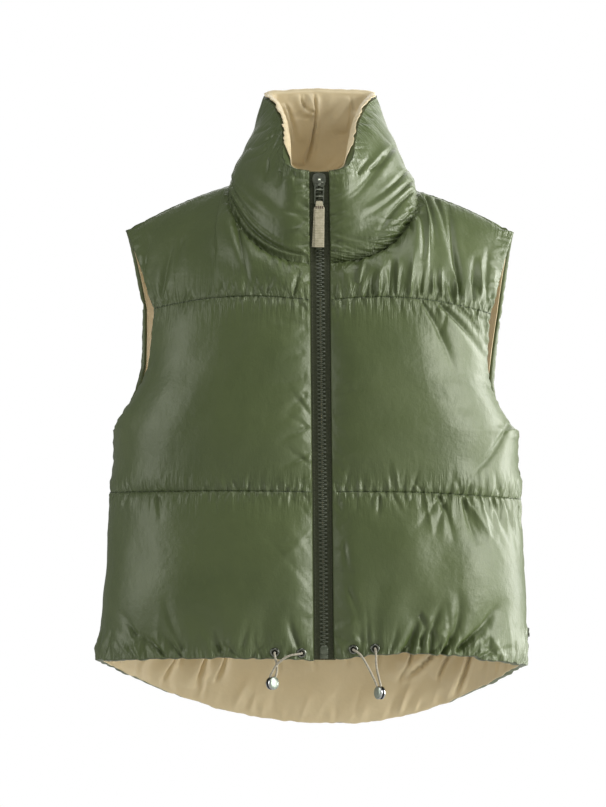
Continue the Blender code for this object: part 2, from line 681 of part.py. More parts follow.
def thin_wall(name, outside, inside, finish):
    """A closed thin wall between two grids of the same size."""
    rows, columns = outside.shape[:2]
    count = rows * columns
    vertices = np.concatenate([outside.reshape(-1, 3), inside.reshape(-1, 3)])
    top = grid_triangles(rows, columns, 0)
    bottom = grid_triangles(rows, columns, count)[:, ::-1]
    ring, low = border(rows, columns, 0), border(rows, columns, count)
    next_ring, next_low = np.roll(ring, -1), np.roll(low, -1)
    sides = np.concatenate(
        [np.stack([next_ring, ring, low], axis=1), np.stack([next_ring, low, next_low], axis=1)]
    )
    faces = facing_out(vertices, np.concatenate([top, bottom, sides]))
    return add_object(name, vertices, faces, finish)


def lining_panel(name, inside, normals, finish):
    """A lining panel: the padded panel's own inside points, moved in."""
    coarse = inside[::2, ::2]
    inward = normals[::2, ::2]
    outside = pulled_in(coarse - SEAM_GAP * inward, SEAM_GAP)
    innermost = pulled_in(coarse - (SEAM_GAP + LINING_WALL) * inward, SEAM_GAP)
    return thin_wall(name, outside, innermost, finish)


def strip(name, line, normals, across, wall, finish):
    """A strip of rectangular section along a line: across gives its two X offsets from the
    line, wall its two offsets along the normals."""
    corners = [(across[0], wall[0]), (across[1], wall[0]), (across[1], wall[1]), (across[0], wall[1])]
    rings = np.stack(
        [line + np.array([dx, 0.0, 0.0]) + normals * dn for dx, dn in corners], axis=1
    )
    count = len(line)
    vertices = rings.reshape(-1, 3)
    quads = [
        (4 * i + k, 4 * i + (k + 1) % 4, 4 * i + 4 + (k + 1) % 4, 4 * i + 4 + k)
        for i in range(count - 1)
        for k in range(4)
    ]
    triangles = [half for a, b, c, d in quads for half in ((a, b, c), (a, c, d))]
    end = 4 * (count - 1)
    caps = [(0, 2, 1), (0, 3, 2), (end, end + 1, end + 2), (end, end + 2, end + 3)]
    faces = facing_out(vertices, np.array(triangles + caps))
    return add_object(name, vertices, faces, finish, 30.0)


def prism(outline, depth, matrix, name, finish):
    """A closed outline in local X and Z, given depth along local Y, then placed."""
    count = len(outline)
    near = [Vector((x, -depth / 2, z)) for x, z in outline]
    far = [Vector((x, depth / 2, z)) for x, z in outline]
    vertices = np.array([matrix @ v for v in near + far])
    around = [(k, (k + 1) % count) for k in range(count)]
    sides = [t for a, b in around for t in ((b, a, a + count), (b, a + count, b + count))]
    caps = [(0, k, k + 1) for k in range(1, count - 1)]
    caps += [(count, count + k + 1, count + k) for k in range(1, count - 1)]
    faces = facing_out(vertices, np.array(sides + caps))
    return add_object(name, vertices, faces, finish, 30.0)


def box_outline(x0, x1, z0, z1):
    return [(x0, z0), (x1, z0), (x1, z1), (x0, z1)]


def round_outline(radius, sides, centre=(0.0, 0.0)):
    turns = [2 * math.pi * k / sides for k in range(sides)]
    return [(centre[0] + radius * math.cos(a), centre[1] + radius * math.sin(a)) for a in turns]


def turned(name, profile, sides, matrix, finish):
    """A profile of radius and height turned round local Y and placed. A profile that starts and
    ends at radius 0 closes there; one that doesn't is a closed ring."""
    solid = profile[0][0] == 0 and profile[-1][0] == 0
    inner = profile[1:-1] if solid else profile
    turns = [2 * math.pi * k / sides for k in range(sides)]
    vertices = [
        matrix @ Vector((r * math.cos(a), h, r * math.sin(a))) for a in turns for r, h in inner
    ]
    count = len(inner)
    spans = range(count - 1) if solid else range(count)
    faces = []
    for k in range(sides):
        here, there = k * count, ((k + 1) % sides) * count
        for i in spans:
            j = (i + 1) % count
            faces += [(here + i, there + i, there + j), (here + i, there + j, here + j)]
    if solid:
        vertices += [matrix @ Vector((0, profile[0][1], 0)), matrix @ Vector((0, profile[-1][1], 0))]
        first, last = len(vertices) - 2, len(vertices) - 1
        for k in range(sides):
            here, there = k * count, ((k + 1) % sides) * count
            faces += [(first, there, here), (last, here + count - 1, there + count - 1)]
    vertices = np.array(vertices)
    return add_object(name, vertices, facing_out(vertices, np.array(faces)), finish, 40.0)


def fused(name, pieces, operation="UNION"):
    """One body from overlapping pieces. The pieces are removed once they are joined or cut."""
    body = pieces[0]
    for other in pieces[1:]:
        modifier = body.modifiers.new("fuse", "BOOLEAN")
        modifier.operation = operation
        modifier.solver = "EXACT"
        modifier.object = other
    graph = bpy.context.evaluated_depsgraph_get()
    graph.update()
    mesh = bpy.data.meshes.new_from_object(body.evaluated_get(graph))
    body.modifiers.clear()
    body.data = mesh
    for other in pieces[1:]:
        bpy.data.objects.remove(other)
    body.name = name
    mesh.name = name
    return body


def cord(name, route, finish):
    """A round cord on a smooth curve through its route's points."""
    route = np.array(route)
    along = lengths_along(route)
    count = max(6, round(along[-1] / (2.5 * CORD_DIAMETER)))
    at = np.linspace(0, along[-1], count + 1)
    points = np.stack([smooth(at, along, route[:, k]) for k in range(3)], axis=1)
    curve = bpy.data.curves.new(name, "CURVE")
    curve.dimensions = "3D"
    spline = curve.splines.new("POLY")
    spline.points.add(count)
    spline.points.foreach_set("co", np.column_stack([points, np.ones(count + 1)]).ravel())
    curve.bevel_depth = CORD_DIAMETER / 2
    curve.bevel_resolution = 2
    curve.use_fill_caps = True
    curve.materials.append(finish)
    made = bpy.data.objects.new(name, curve)
    bpy.context.scene.collection.objects.link(made)
    return made


# ---- the vest -----------------------------------------------------------------------------


def clear_scene():
    for existing in list(bpy.data.objects):
        bpy.data.objects.remove(existing, do_unlink=True)


def make_shell(panels, normals):
    """The two fronts, the back and the collar, each a padded wall with its lining inside."""
    shell = material("shell_nylon", SHELL_COLOUR, 0.42)
    lining = material("lining_satin", LINING_COLOUR, 0.50)
    outside = {}
    for name, grid in panels.items():
        chambers = COLLAR_CHAMBERS if name == "collar" else BODY_CHAMBERS
        outside[name] = outer_points(name, grid, normals[name], chambers)
        padded_wall(name, grid, outside[name], shell)
        lining_panel("lining_" + name, grid, normals[name], lining)
    return outside


def zip_line(panels):
    """The zip's line up the fronts and the collar, on their plain insides, and its normals."""
    edge = np.concatenate([panels["front_right"][:, 0], panels["collar"][2::2, 0]])
    line = edge.copy()
    line[:, 0] = zip_lean(edge[:, 2])
    tangent = unit(np.gradient(line, axis=0))
    normals = unit(np.cross(tangent, np.array([1.0, 0.0, 0.0])))
    normals *= -np.sign(normals[:, 1:2])
    return line, normals


def stretch(line, normals, low, high):
    """The part of the zip's line between two heights, with its normals."""
    kept = (line[:, 2] > low) & (line[:, 2] < high)
    heights = np.concatenate([[low], line[kept, 2], [high]])
    points, facing = (
        np.stack([np.interp(heights, line[:, 2], values[:, k]) for k in range(3)], axis=1)
        for values in (line, normals)
    )
    return points, unit(facing)


def make_zip(line, normals):
    """Tapes beside the chain, the chain up to the slider, and the box at the bottom."""
    tape = material("zip_tape", TAPE_COLOUR, 0.85)
    chain = material("zip_chain", CHAIN_COLOUR, 0.55)
    inner, outer = CHAIN_HALF_WIDTH + SEAM_GAP, ZIP_HALF_WIDTH - SEAM_GAP
    strip("zip_tape_right", line, normals, (-outer, -inner), (0.0, TAPE_WALL), tape)
    strip("zip_tape_left", line, normals, (inner, outer), (0.0, TAPE_WALL), tape)
    across = (-CHAIN_HALF_WIDTH, CHAIN_HALF_WIDTH)
    box_low = line[0, 2] + BOX_ABOVE_HEM
    box_high = box_low + BOX_TALL
    chain_stretch = stretch(line, normals, box_high + SEAM_GAP, CHAIN_TOP)
    strip("zip_chain", *chain_stretch, across, (-CHAIN_BACK, CHAIN_FRONT), chain)
    box_stretch = stretch(line, normals, box_low, box_high)
    box_wall = (-CHAIN_BACK - BOX_PROUD, CHAIN_FRONT + BOX_PROUD)
    strip("zip_box", *box_stretch, across, box_wall, chain)


def slider_place(line):
    """The slider's own frame: on the zip's line, with Z up along it and -Y out of the cloth."""
    low, high = SLIDER_Z - SLIDER_TALL, SLIDER_Z
    y_low, y_high = (float(np.interp(z, line[:, 2], line[:, 1])) for z in (low, high))
    turn = Matrix.Rotation(-math.atan2(y_high - y_low, high - low), 4, "X")
    return Matrix.Translation((zip_lean(SLIDER_Z), y_high, SLIDER_Z)) @ turn


def at_y(place, y, x=0.0, z=0.0):
    """A frame moved along its own axes."""
    return place @ Matrix.Translation((x, y, z))


def bridge_arch(place, metal):
    """The arch that holds the pull: two feet on the front plate and a beam before the bar."""
    face = -SLIDER_FACE
    sunk = face + SLIDER_PLATE / 3
    inner = face - HINGE_OUT - PULL_BAR - SEAM_GAP
    outer = inner - BRIDGE_WALL
    half = BRIDGE_HALF_WIDTH
    # Y and Z of its outline, from the lower foot out along the beam and back on the inside.
    outline = [
        (sunk, -BRIDGE_FOOT),
        (outer, -BRIDGE_BEAM),
        (outer, BRIDGE_BEAM),
        (sunk, BRIDGE_FOOT),
        (sunk, BRIDGE_FOOT - 2 * BRIDGE_WALL),
        (inner, BRIDGE_BEAM - BRIDGE_WALL),
        (inner, -BRIDGE_BEAM + BRIDGE_WALL),
        (sunk, -BRIDGE_FOOT + 2 * BRIDGE_WALL),
    ]
    count = len(outline)
    quads = [(0, 1, 6, 7), (1, 2, 5, 6), (2, 3, 4, 5)]
    faces = [t for a, b, c, d in quads for t in ((a, b, c), (a, c, d))]
    faces += [tuple(count + i for i in reversed(face)) for face in faces]
    around = [(k, (k + 1) % count) for k in range(count)]
    faces += [t for a, b in around for t in ((b, a, a + count), (b, a + count, b + count))]
    hinge_z = HINGE_Z - SLIDER_Z
    corners = [place @ Vector((x, y, hinge_z + z)) for x in (-half, half) for y, z in outline]
    vertices = np.array(corners)
    return add_object("arch", vertices, facing_out(vertices, np.array(faces)), metal, 30.0)


def make_slider(place):
    """The slider: two plates on a post over the chain's end, with a bridge for the pull."""
    metal = material("slider_metal", METAL_COLOUR, 0.30, 1.0)
    half, tall = SLIDER_HALF_WIDTH, SLIDER_TALL / 2
    shield = [
        (-0.7 * half, -tall),
        (0.7 * half, -tall),
        (half, 0.3 * tall),
        (0.85 * half, tall),
        (-0.85 * half, tall),
        (-half, 0.3 * tall),
    ]
    front_y = -SLIDER_FACE + SLIDER_PLATE / 2
    back_y = CHAIN_BACK + SEAM_GAP + SLIDER_PLATE / 2
    front_plate, back_plate = (
        prism(shield, SLIDER_PLATE, at_y(place, y), "plate", metal) for y in (front_y, back_y)
    )
    post_low = CHAIN_TOP + SEAM_GAP - SLIDER_Z
    post = prism(
        box_outline(-POST_HALF_WIDTH, POST_HALF_WIDTH, post_low, tall - SEAM_GAP),
        back_y - front_y,
        at_y(place, (front_y + back_y) / 2),
        "post",
        metal,
    )
    fused("zip_slider", [front_plate, back_plate, post, bridge_arch(place, metal)])


def make_pull(place):
    """The pull: a small ladder frame on the slider's bridge and a webbing tag round its foot.
    Both hang from the hinge's axis and lie along the zip."""
    metal = material("pull_metal", METAL_COLOUR, 0.30, 1.0)
    webbing = material("tag_webbing", TAG_COLOUR, 0.80)
    lie = at_y(place, -SLIDER_FACE - HINGE_OUT, z=HINGE_Z - SLIDER_Z)
    leg_x = PULL_HALF_WIDTH - PULL_LEG / 2
    foot = PULL_RUNGS[-1]
    leg = box_outline(-PULL_LEG / 2, PULL_LEG / 2, -foot - PULL_BAR, PULL_BAR)
    pieces = [
        prism(leg, PULL_LEG, at_y(lie, 0.0, x=side * leg_x), "leg", metal)
        for side in (RIGHT, LEFT)
    ]
    quarter = Matrix.Rotation(math.pi / 2, 4, "Z")
    for drop in PULL_RUNGS:
        rung = at_y(lie, 0.0, z=-drop) @ quarter
        pieces.append(prism(round_outline(PULL_BAR, 10), 2 * leg_x, rung, "rung", metal))
    fused("pull_frame", pieces)
    # The tag's loop goes round the frame's foot, and is narrow enough for the frame's window.
    hole_radius = PULL_BAR + SEAM_GAP
    loop_width = 2 * (PULL_HALF_WIDTH - PULL_LEG - SEAM_GAP)
    foot_place = at_y(lie, 0.0, z=-foot) @ quarter
    loop_outline = round_outline(hole_radius + TAG_PLY, 14)
    loop = prism(loop_outline, loop_width, foot_place, "loop", webbing)
    neck_outline = box_outline(
        -loop_width / 2, loop_width / 2, -TAG_TOP - TAG_PLY, -foot - hole_radius
    )
    tag_neck = prism(neck_outline, 2 * TAG_PLY, lie, "tag_neck", webbing)
    body = [
        (-0.80 * TAG_HALF_WIDTH, -TAG_TOP),
        (-TAG_HALF_WIDTH, -TAG_BOTTOM),
        (TAG_HALF_WIDTH, -TAG_BOTTOM),
        (0.90 * TAG_HALF_WIDTH, -TAG_TOP),
    ]
    tag = prism(body, TAG_WALL, lie, "tag", webbing)
    joined = fused("pull_tag", [tag, tag_neck, loop])
    hole = prism(round_outline(hole_radius, 14), 3 * loop_width, foot_place, "hole", webbing)
    fused("pull_tag", [joined, hole], "DIFFERENCE")


def seat_on(tree, x, z, reach):
    """Point and outward normal for a flat ring on a panel, met along Y, clear of its facets."""
    ahead = Vector((0.0, 1.0, 0.0))
    around = [(x + reach * math.cos(a), z + reach * math.sin(a)) for a in np.arange(8) * math.pi / 4]
    hits = [tree.ray_cast(Vector((px, -1.0, pz)), ahead)[0] for px, pz in [(x, z), *around]]
    hits = [hit for hit in hits if hit is not None]
    centre = hits[0]
    normal = Vector((0.0, 0.0, 0.0))
    for a, b in zip(hits[1:], hits[2:] + hits[1:2]):
        normal += (a - centre).cross(b - centre)
    normal.normalize()
    if normal.y > 0:
        normal.negate()
    lift = max((hit - centre).dot(normal) for hit in hits)
    return centre + normal * (lift + SEAM_GAP), normal


def eyelet(name, seat, normal, finish):
    """A metal eyelet: a rounded ring lying on the cloth."""
    turn = Vector((0.0, -1.0, 0.0)).rotation_difference(normal).to_matrix().to_4x4()
    place = Matrix.Translation(seat) @ turn
    wall = EYELET_WALL
    profile = [
        (EYELET_HOLE, 0.0),
        (EYELET_HOLE, -0.6 * wall),
        (EYELET_HOLE + 0.0006, -wall),
        (EYELET_RADIUS - 0.0008, -0.9 * wall),
        (EYELET_RADIUS, -0.35 * wall),
        (EYELET_RADIUS, 0.0),
    ]
    return turned(name, profile, 18, place, finish)


def cord_lock(name, place, finish):
    """A round lock: two discs with a groove between them, through which the cord runs."""
    half, groove = LOCK_WALL / 2, LOCK_GROOVE
    chamfered = LOCK_RADIUS - LOCK_CHAMFER
    inner = LOCK_RADIUS - LOCK_GROOVE_DEPTH
    profile = [
        (0.0, -half),
        (chamfered, -half),
        (LOCK_RADIUS, -half + LOCK_CHAMFER),
        (LOCK_RADIUS, -groove),
        (inner, -groove),
        (inner, groove),
        (LOCK_RADIUS, groove),
        (LOCK_RADIUS, half - LOCK_CHAMFER),
        (chamfered, half),
        (0.0, half),
    ]
    return turned(name, profile, 20, place, finish)


def make_hem_hardware(outside):
    """Eyelets, locks and the cord strands between them."""
    metal = material("eyelet_metal", METAL_COLOUR, 0.32, 1.0)
    cord_cloth = material("hem_cord_elastic", CORD_COLOUR, 0.75)
    trees = {}
    for name in ("front_right", "front_left"):
        grid = pulled_in(outside[name], SEAM_GAP / 2)
        faces = grid_triangles(*grid.shape[:2], 0)
        trees[name] = BVHTree.FromPolygons([Vector(p) for p in grid.reshape(-1, 3)], faces.tolist())
    seats = {}
    for name, (x, z) in EYELETS.items():
        tree = trees["front_right" if x < 0 else "front_left"]
        seats[name] = seat_on(tree, x, z, EYELET_RADIUS)
        eyelet(name, *seats[name], metal)
    side_start = Vector((1.0, -SIDE_EYELET_IN_FRONT, SIDE_EYELET_Z))
    hit, normal, _, _ = trees["front_left"].ray_cast(side_start, Vector((-1.0, 0.0, 0.0)))
    normal = normal if normal.x > 0 else -normal
    eyelet("eyelet_left_side", hit + normal * SIDE_EYELET_LIFT, normal, metal)
    end_depths = {name: [] for name in LOCKS}
    for name, route in STRAND_ROUTES.items():
        seat, normal = seats[STRAND_EYELETS[name]]
        points = [seat + normal * out for out in CORD_EXIT]
        points += [(x, seat.y - out, z) for x, out, z in route]
        cord(name, points, cord_cloth)
        lock = "cord_lock_left" if "left" in name else "cord_lock_right"
        end_depths[lock].append(points[-1][1])
    for name, (x, z, degrees) in LOCKS.items():
        hang = Matrix.Translation((x, float(np.mean(end_depths[name])), z))
        cord_lock(name, hang @ Matrix.Rotation(math.radians(degrees), 4, "Z"), metal)


def make_vest():
    clear_scene()
    panels = {
        "front_right": front_panel(RIGHT),
        "front_left": front_panel(LEFT),
        "back": back_panel(),
        "collar": collar_panel(),
    }
    normals = shared_normals(panels)
    outside = make_shell(panels, normals)
    line, line_normals = zip_line(panels)
    make_zip(line, line_normals)
    place = slider_place(line)
    make_slider(place)
    make_pull(place)
    make_hem_hardware(outside)


make_vest()
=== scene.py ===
import math

import bmesh
import bpy
import numpy as np
from mathutils import Matrix, Vector


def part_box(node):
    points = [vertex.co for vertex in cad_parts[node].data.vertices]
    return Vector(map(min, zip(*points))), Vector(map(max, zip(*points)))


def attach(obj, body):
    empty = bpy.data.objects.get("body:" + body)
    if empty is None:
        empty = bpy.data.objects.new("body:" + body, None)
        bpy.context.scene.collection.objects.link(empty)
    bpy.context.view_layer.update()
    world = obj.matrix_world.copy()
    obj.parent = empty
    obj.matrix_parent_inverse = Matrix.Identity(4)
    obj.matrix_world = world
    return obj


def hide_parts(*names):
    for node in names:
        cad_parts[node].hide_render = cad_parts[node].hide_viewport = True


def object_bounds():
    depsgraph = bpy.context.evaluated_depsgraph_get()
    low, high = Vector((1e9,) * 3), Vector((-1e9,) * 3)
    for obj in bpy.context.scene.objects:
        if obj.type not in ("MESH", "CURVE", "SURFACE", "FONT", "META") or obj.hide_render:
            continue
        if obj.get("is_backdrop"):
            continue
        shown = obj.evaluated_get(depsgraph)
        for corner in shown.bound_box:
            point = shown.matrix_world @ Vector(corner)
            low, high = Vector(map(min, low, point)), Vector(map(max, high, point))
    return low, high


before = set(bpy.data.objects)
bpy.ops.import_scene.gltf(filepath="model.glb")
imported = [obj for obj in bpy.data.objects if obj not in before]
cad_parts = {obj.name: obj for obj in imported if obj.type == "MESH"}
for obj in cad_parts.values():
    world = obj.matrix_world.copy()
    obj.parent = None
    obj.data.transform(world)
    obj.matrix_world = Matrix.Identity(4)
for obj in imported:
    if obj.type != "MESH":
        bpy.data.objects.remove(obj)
frame_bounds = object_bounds()

# ---- Stand, floor and light ---------------------------------------------------------------
# The vest stands filled out and hollow, seen level and square from the front. A large soft
# window stands at its left, and white walls and a pale floor send light back from all round.

CAMERA_AWAY = 16.0
FRAME_TALL = 0.807
FRAME_X, FRAME_Z = -0.015, -0.2115  # what the lens points at

scene = bpy.context.scene
scene.view_settings.view_transform = "Standard"

lens = bpy.data.cameras.new("camera")
lens.sensor_fit = "VERTICAL"
lens.sensor_height = 36.0
lens.lens = 36.0 * CAMERA_AWAY / FRAME_TALL
lens.clip_end = 60.0
camera = bpy.data.objects.new("camera", lens)
camera.location = (FRAME_X, -CAMERA_AWAY, FRAME_Z)
camera.rotation_euler = (math.pi / 2, 0.0, 0.0)
scene.collection.objects.link(camera)
scene.camera = camera

studio = bpy.data.worlds.new("studio")
studio.use_nodes = True
tree = studio.node_tree
backdrop = tree.nodes["Background"]
backdrop.inputs["Color"].default_value = (1.0, 1.0, 1.0, 1.0)
walls = tree.nodes.new("ShaderNodeBackground")
walls.inputs["Color"].default_value = (1.0, 1.0, 1.0, 1.0)
walls.inputs["Strength"].default_value = 0.25
rays = tree.nodes.new("ShaderNodeLightPath")
seen = tree.nodes.new("ShaderNodeMixShader")
tree.links.new(rays.outputs["Is Camera Ray"], seen.inputs["Fac"])
tree.links.new(walls.outputs["Background"], seen.inputs[1])
tree.links.new(backdrop.outputs["Background"], seen.inputs[2])
tree.links.new(seen.outputs["Shader"], tree.nodes["World Output"].inputs["Surface"])
scene.world = studio

SOFT_LIGHTS = {
    # where it stands, what it points at, its two sides in metres and its power in watts
    "window": ((2.9, -1.1, 0.2), (0.05, 0.0, -0.26), 1.5, 2.2, 110.0),
    "side_wall": ((2.5, 1.3, 0.2), (0.05, 0.0, -0.25), 1.2, 2.2, 88.0),
    "overhead": ((0.3, -1.2, 2.6), (0.0, 0.0, -0.2), 1.6, 1.2, 33.0),
    "far_wall": ((-2.9, -0.8, 0.1), (-0.05, 0.0, -0.25), 1.2, 2.4, 34.0),
    "low_front": ((0.9, -3.2, -0.40), (0.0, 0.1, -0.48), 0.9, 0.5, 3.0),
    "behind": ((0.3, 2.8, 0.9), (0.0, 0.0, -0.2), 2.0, 1.6, 26.0),
}
for name, (place, target, wide, tall, watts) in SOFT_LIGHTS.items():
    lamp = bpy.data.lights.new(name, "AREA")
    lamp.shape = "RECTANGLE"
    lamp.size, lamp.size_y = wide, tall
    lamp.energy = watts
    light = bpy.data.objects.new(name, lamp)
    light.location = place
    aim = Vector(target) - Vector(place)
    light.rotation_euler = aim.to_track_quat("-Z", "Y").to_euler()
    scene.collection.objects.link(light)


def finish(name, colour, roughness, metallic=0.0):
    """A plain finish: one colour and one gloss all over."""
    made = bpy.data.materials.new(name)
    made.use_nodes = True
    shader = made.node_tree.nodes["Principled BSDF"]
    shader.inputs["Base Color"].default_value = (*colour, 1.0)
    shader.inputs["Roughness"].default_value = roughness
    shader.inputs["Metallic"].default_value = metallic
    return made


def put_mesh(name, points, faces, finishes, uv=None, sharp_degrees=None, part=None):
    """A piece from its points and faces, turned to face outwards. uv gives each point's place on
    the cut, in metres, and part the finish of each face where there is more than one."""
    mesh = bpy.data.meshes.new(name)
    mesh.from_pydata(points.tolist(), [], [list(face) for face in faces])
    shell = bmesh.new()
    shell.from_mesh(mesh)
    if shell.calc_volume(signed=True) < 0:
        bmesh.ops.reverse_faces(shell, faces=shell.faces)
        shell.to_mesh(mesh)
    shell.free()
    mesh.shade_smooth()
    if sharp_degrees:
        mesh.set_sharp_from_angle(angle=math.radians(sharp_degrees))
    for made in finishes:
        mesh.materials.append(made)
    if part is not None:
        mesh.polygons.foreach_set("material_index", np.asarray(part, dtype=np.int32))
    if uv is not None:
        corners = np.empty(len(mesh.loops), dtype=np.int32)
        mesh.loops.foreach_get("vertex_index", corners)
        layer = mesh.uv_layers.new(name="cut")
        layer.data.foreach_set("uv", uv[corners].astype(np.float32).ravel())
    mesh.update()
    made_object = bpy.data.objects.new(name, mesh)
    scene.collection.objects.link(made_object)
    return made_object


def grid_quads(rows, columns, round_about=False, start=0):
    """Four-sided faces of a grid of points, joined to itself across where it goes round."""
    index = np.arange(rows * columns).reshape(rows, columns) + start
    if round_about:
        index = np.concatenate([index, index[:, :1]], axis=1)
    a, b, c, d = index[:-1, :-1], index[:-1, 1:], index[1:, 1:], index[1:, :-1]
    return np.stack([a, b, c, d], axis=-1).reshape(-1, 4)


FLOOR_HEIGHT = -0.80
turn = np.linspace(0, 2 * np.pi, 96, endpoint=False)
floor_rings = np.array([1.0, 1.9, 2.8])[:, None]
floor_points = np.stack(
    [floor_rings * np.cos(turn), floor_rings * np.sin(turn), np.full((3, 96), FLOOR_HEIGHT)], axis=-1
).reshape(-1, 3)
floor_faces = grid_quads(3, 96, True)[:, ::-1].tolist() + [list(range(96))]
floor = put_mesh("floor", floor_points, floor_faces, [finish("pale_floor", (0.60, 0.60, 0.585), 0.7)])
floor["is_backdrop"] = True

# ---- Hem cord and its locks ---------------------------------------------------------------
# A braided elastic cord lies in the hem. On each front it comes out of the inner eyelet, runs
# down into a round spring lock, turns in it and goes back in by the outer eyelet.

CORD_DIAMETER = 0.0022
CORD_ROWS, CORD_AROUND = 150, 14
CORD_LEAVES = (0.0004, 0.0030)  # along the eyelet's axis


def node(made, kind, **values):
    """A node in a finish, with values set by its sockets' names."""
    added = made.node_tree.nodes.new(kind)
    for label, value in values.items():
        added.inputs[label.replace("_", " ")].default_value = value
    return added


def link(made, start, start_socket, end, end_socket):
    made.node_tree.links.new(start.outputs[start_socket], end.inputs[end_socket])


def noise(made, scale, detail, roughness=0.5):
    """Cloudy noise through a finish, by the place in the vest."""
    where = node(made, "ShaderNodeTexCoord")
    cloud = node(made, "ShaderNodeTexNoise", Scale=scale, Detail=detail, Roughness=roughness)
    link(made, where, "Object", cloud, "Vector")
    return cloud


def dyed(name, colour, roughness, metallic, dark, light, scale):
    """A finish of uneven dye: cloudy noise blends two colours."""
    made = finish(name, colour, roughness, metallic)
    cloud = noise(made, scale, 4.0, 0.6)
    ramp = node(made, "ShaderNodeValToRGB")
    for end, place, shade in zip(ramp.color_ramp.elements, (0.32, 0.68), (dark, light)):
        end.position = place
        end.color = (*shade, 1.0)
    link(made, cloud, "Fac", ramp, "Fac")
    link(made, ramp, "Color", made.node_tree.nodes["Principled BSDF"], "Base Color")
    return made


def relief(made, texture, socket, metres, below=None):
    """Raises a finish by a texture's value. A relief given as below is laid on first."""
    bump = node(made, "ShaderNodeBump", Strength=1.0, Distance=metres)
    link(made, texture, socket, bump, "Height")
    if below:
        link(made, below, "Normal", bump, "Normal")
    link(made, bump, "Normal", made.node_tree.nodes["Principled BSDF"], "Normal")
    return bump


def ribbed(made, scale, distortion, direction, metres):
    """Woven ribs on the cut's own lengths, raised by so many metres."""
    where = node(made, "ShaderNodeTexCoord")
    ribs = node(made, "ShaderNodeTexWave", Scale=scale, Distortion=distortion)
    ribs.bands_direction = direction
    link(made, where, "UV", ribs, "Vector")
    relief(made, ribs, "Fac", metres)


def unit(vectors):
    return vectors / np.linalg.norm(vectors, axis=-1, keepdims=True)


def lengths_along(points):
    """Length from the start of a line to each of its points."""
    steps = np.linalg.norm(np.diff(points, axis=0), axis=-1)
    return np.concatenate([np.zeros((1, *steps.shape[1:])), np.cumsum(steps, axis=0)])


def smooth(at, stations, values):
    """Values between stations on a cubic whose slope at a station is the harmonic mean of the
    slopes on both sides, so that it bends softly and never overshoots."""
    gap = np.diff(stations)
    slope = np.diff(values) / gap
    product = slope[:-1] * slope[1:]
    total = np.where(product > 0, slope[:-1] + slope[1:], 1.0)
    inner = np.where(product > 0, 2 * product / total, 0.0)
    tangent = np.concatenate([slope[:1], inner, slope[-1:]])
    at = np.clip(at, stations[0], stations[-1])
    cell = np.clip(np.searchsorted(stations, at, side="right") - 1, 0, len(gap) - 1)
    t = (at - stations[cell]) / gap[cell]
    return (
        values[cell] * (1 + 2 * t) * (1 - t) ** 2
        + tangent[cell] * gap[cell] * t * (1 - t) ** 2
        + values[cell + 1] * t**2 * (3 - 2 * t)
        - tangent[cell + 1] * gap[cell] * t**2 * (1 - t)
    )


def smooth_line(stations, count):
    """A smooth line through stations, at so many even lengths of the straight way."""
    along = lengths_along(stations)
    at = np.linspace(0, along[-1], count)
    return np.stack([smooth(at, along, stations[:, k]) for k in range(3)], axis=1)


def node_points(name):
    """The frame's own points of a part."""
    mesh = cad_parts[name].data
    points = np.empty(len(mesh.vertices) * 3, dtype=np.float32)
    mesh.vertices.foreach_get("co", points)
    return points.reshape(-1, 3).astype(float)


def ring_seat(name):
    """Where a ring sits: the middle of its underside, and the way that it faces, which is the
    thinnest direction of its points."""
    points = np.unique(node_points(name).round(7), axis=0)
    facing = np.linalg.svd(points - points.mean(axis=0))[2][2]
    side = np.array([1.0, 0.0, 0.0]) if "side" in name else np.array([0.0, -1.0, 0.0])
    facing = facing * np.sign(facing @ side)
    middle = points.mean(axis=0)
    return middle + facing * ((points - middle) @ facing).min(), facing


def frames_along(path):
    """Two directions across a path at each of its points, carried along without twist: each is
    the one before it, less what points along the path."""
    along = unit(np.gradient(path, axis=0))
    first = np.cross(along[0], [0.3, 0.2, 0.9])
    across = [first / np.linalg.norm(first)]
    for direction in along[1:]:
        carried = across[-1] - direction * (across[-1] @ direction)
        across.append(carried / np.linalg.norm(carried))
    across = np.array(across)
    return across, np.cross(along, across)


def tube(name, path, radius, around, made):
    """A round cord: path(s) + radius (cos a, sin a) across the path, closed at both ends."""
    across, upward = frames_along(path)
    a = np.linspace(0, 2 * np.pi, around, endpoint=False)[None, :, None]
    skin = path[:, None] + radius * (np.cos(a) * across[:, None] + np.sin(a) * upward[:, None])
    rows = len(path)
    points = np.concatenate([skin.reshape(-1, 3), path[:1], path[-1:]])
    faces = grid_quads(rows, around, True).tolist()
    k = np.arange(around)
    low = np.stack([np.full(around, rows * around), (k + 1) % around, k], axis=1)
    high = np.stack([np.full(around, rows * around + 1), k, (k + 1) % around], axis=1)
    high[:, 1:] += (rows - 1) * around
    along = lengths_along(path)
    spread = 2 * np.pi * radius * np.arange(around) / around
    uv = np.stack(np.broadcast_arrays(spread[None, :], along[:, None]), axis=-1).reshape(-1, 2)
    uv = np.concatenate([uv, [[0.0, 0.0], [0.0, along[-1]]]])
    return put_mesh(name, points, faces + low.tolist() + high.tolist(), [made], uv)


def turned(profile, around, seat, facing):
    """Points of a profile of radius and height turned round the axis that leaves seat along
    facing: seat + height facing + radius (cos a, sin a). Rows are the profile's points."""
    side = unit(np.cross(facing, [0.12, 0.20, 1.0]))
    other = np.cross(facing, side)
    a = np.linspace(0, 2 * np.pi, around, endpoint=False)[None, :, None]
    radius, height = (np.array(profile)[:, k][:, None, None] for k in (0, 1))
    return seat + height * facing + radius * (np.cos(a) * side + np.sin(a) * other)


def ring_faces(rows, around):
    """Faces of rings of points, one after another, with one face over each end."""
    quads = grid_quads(rows, around, True).tolist()
    return quads + [list(range(around))[::-1], list(range((rows - 1) * around, rows * around))]


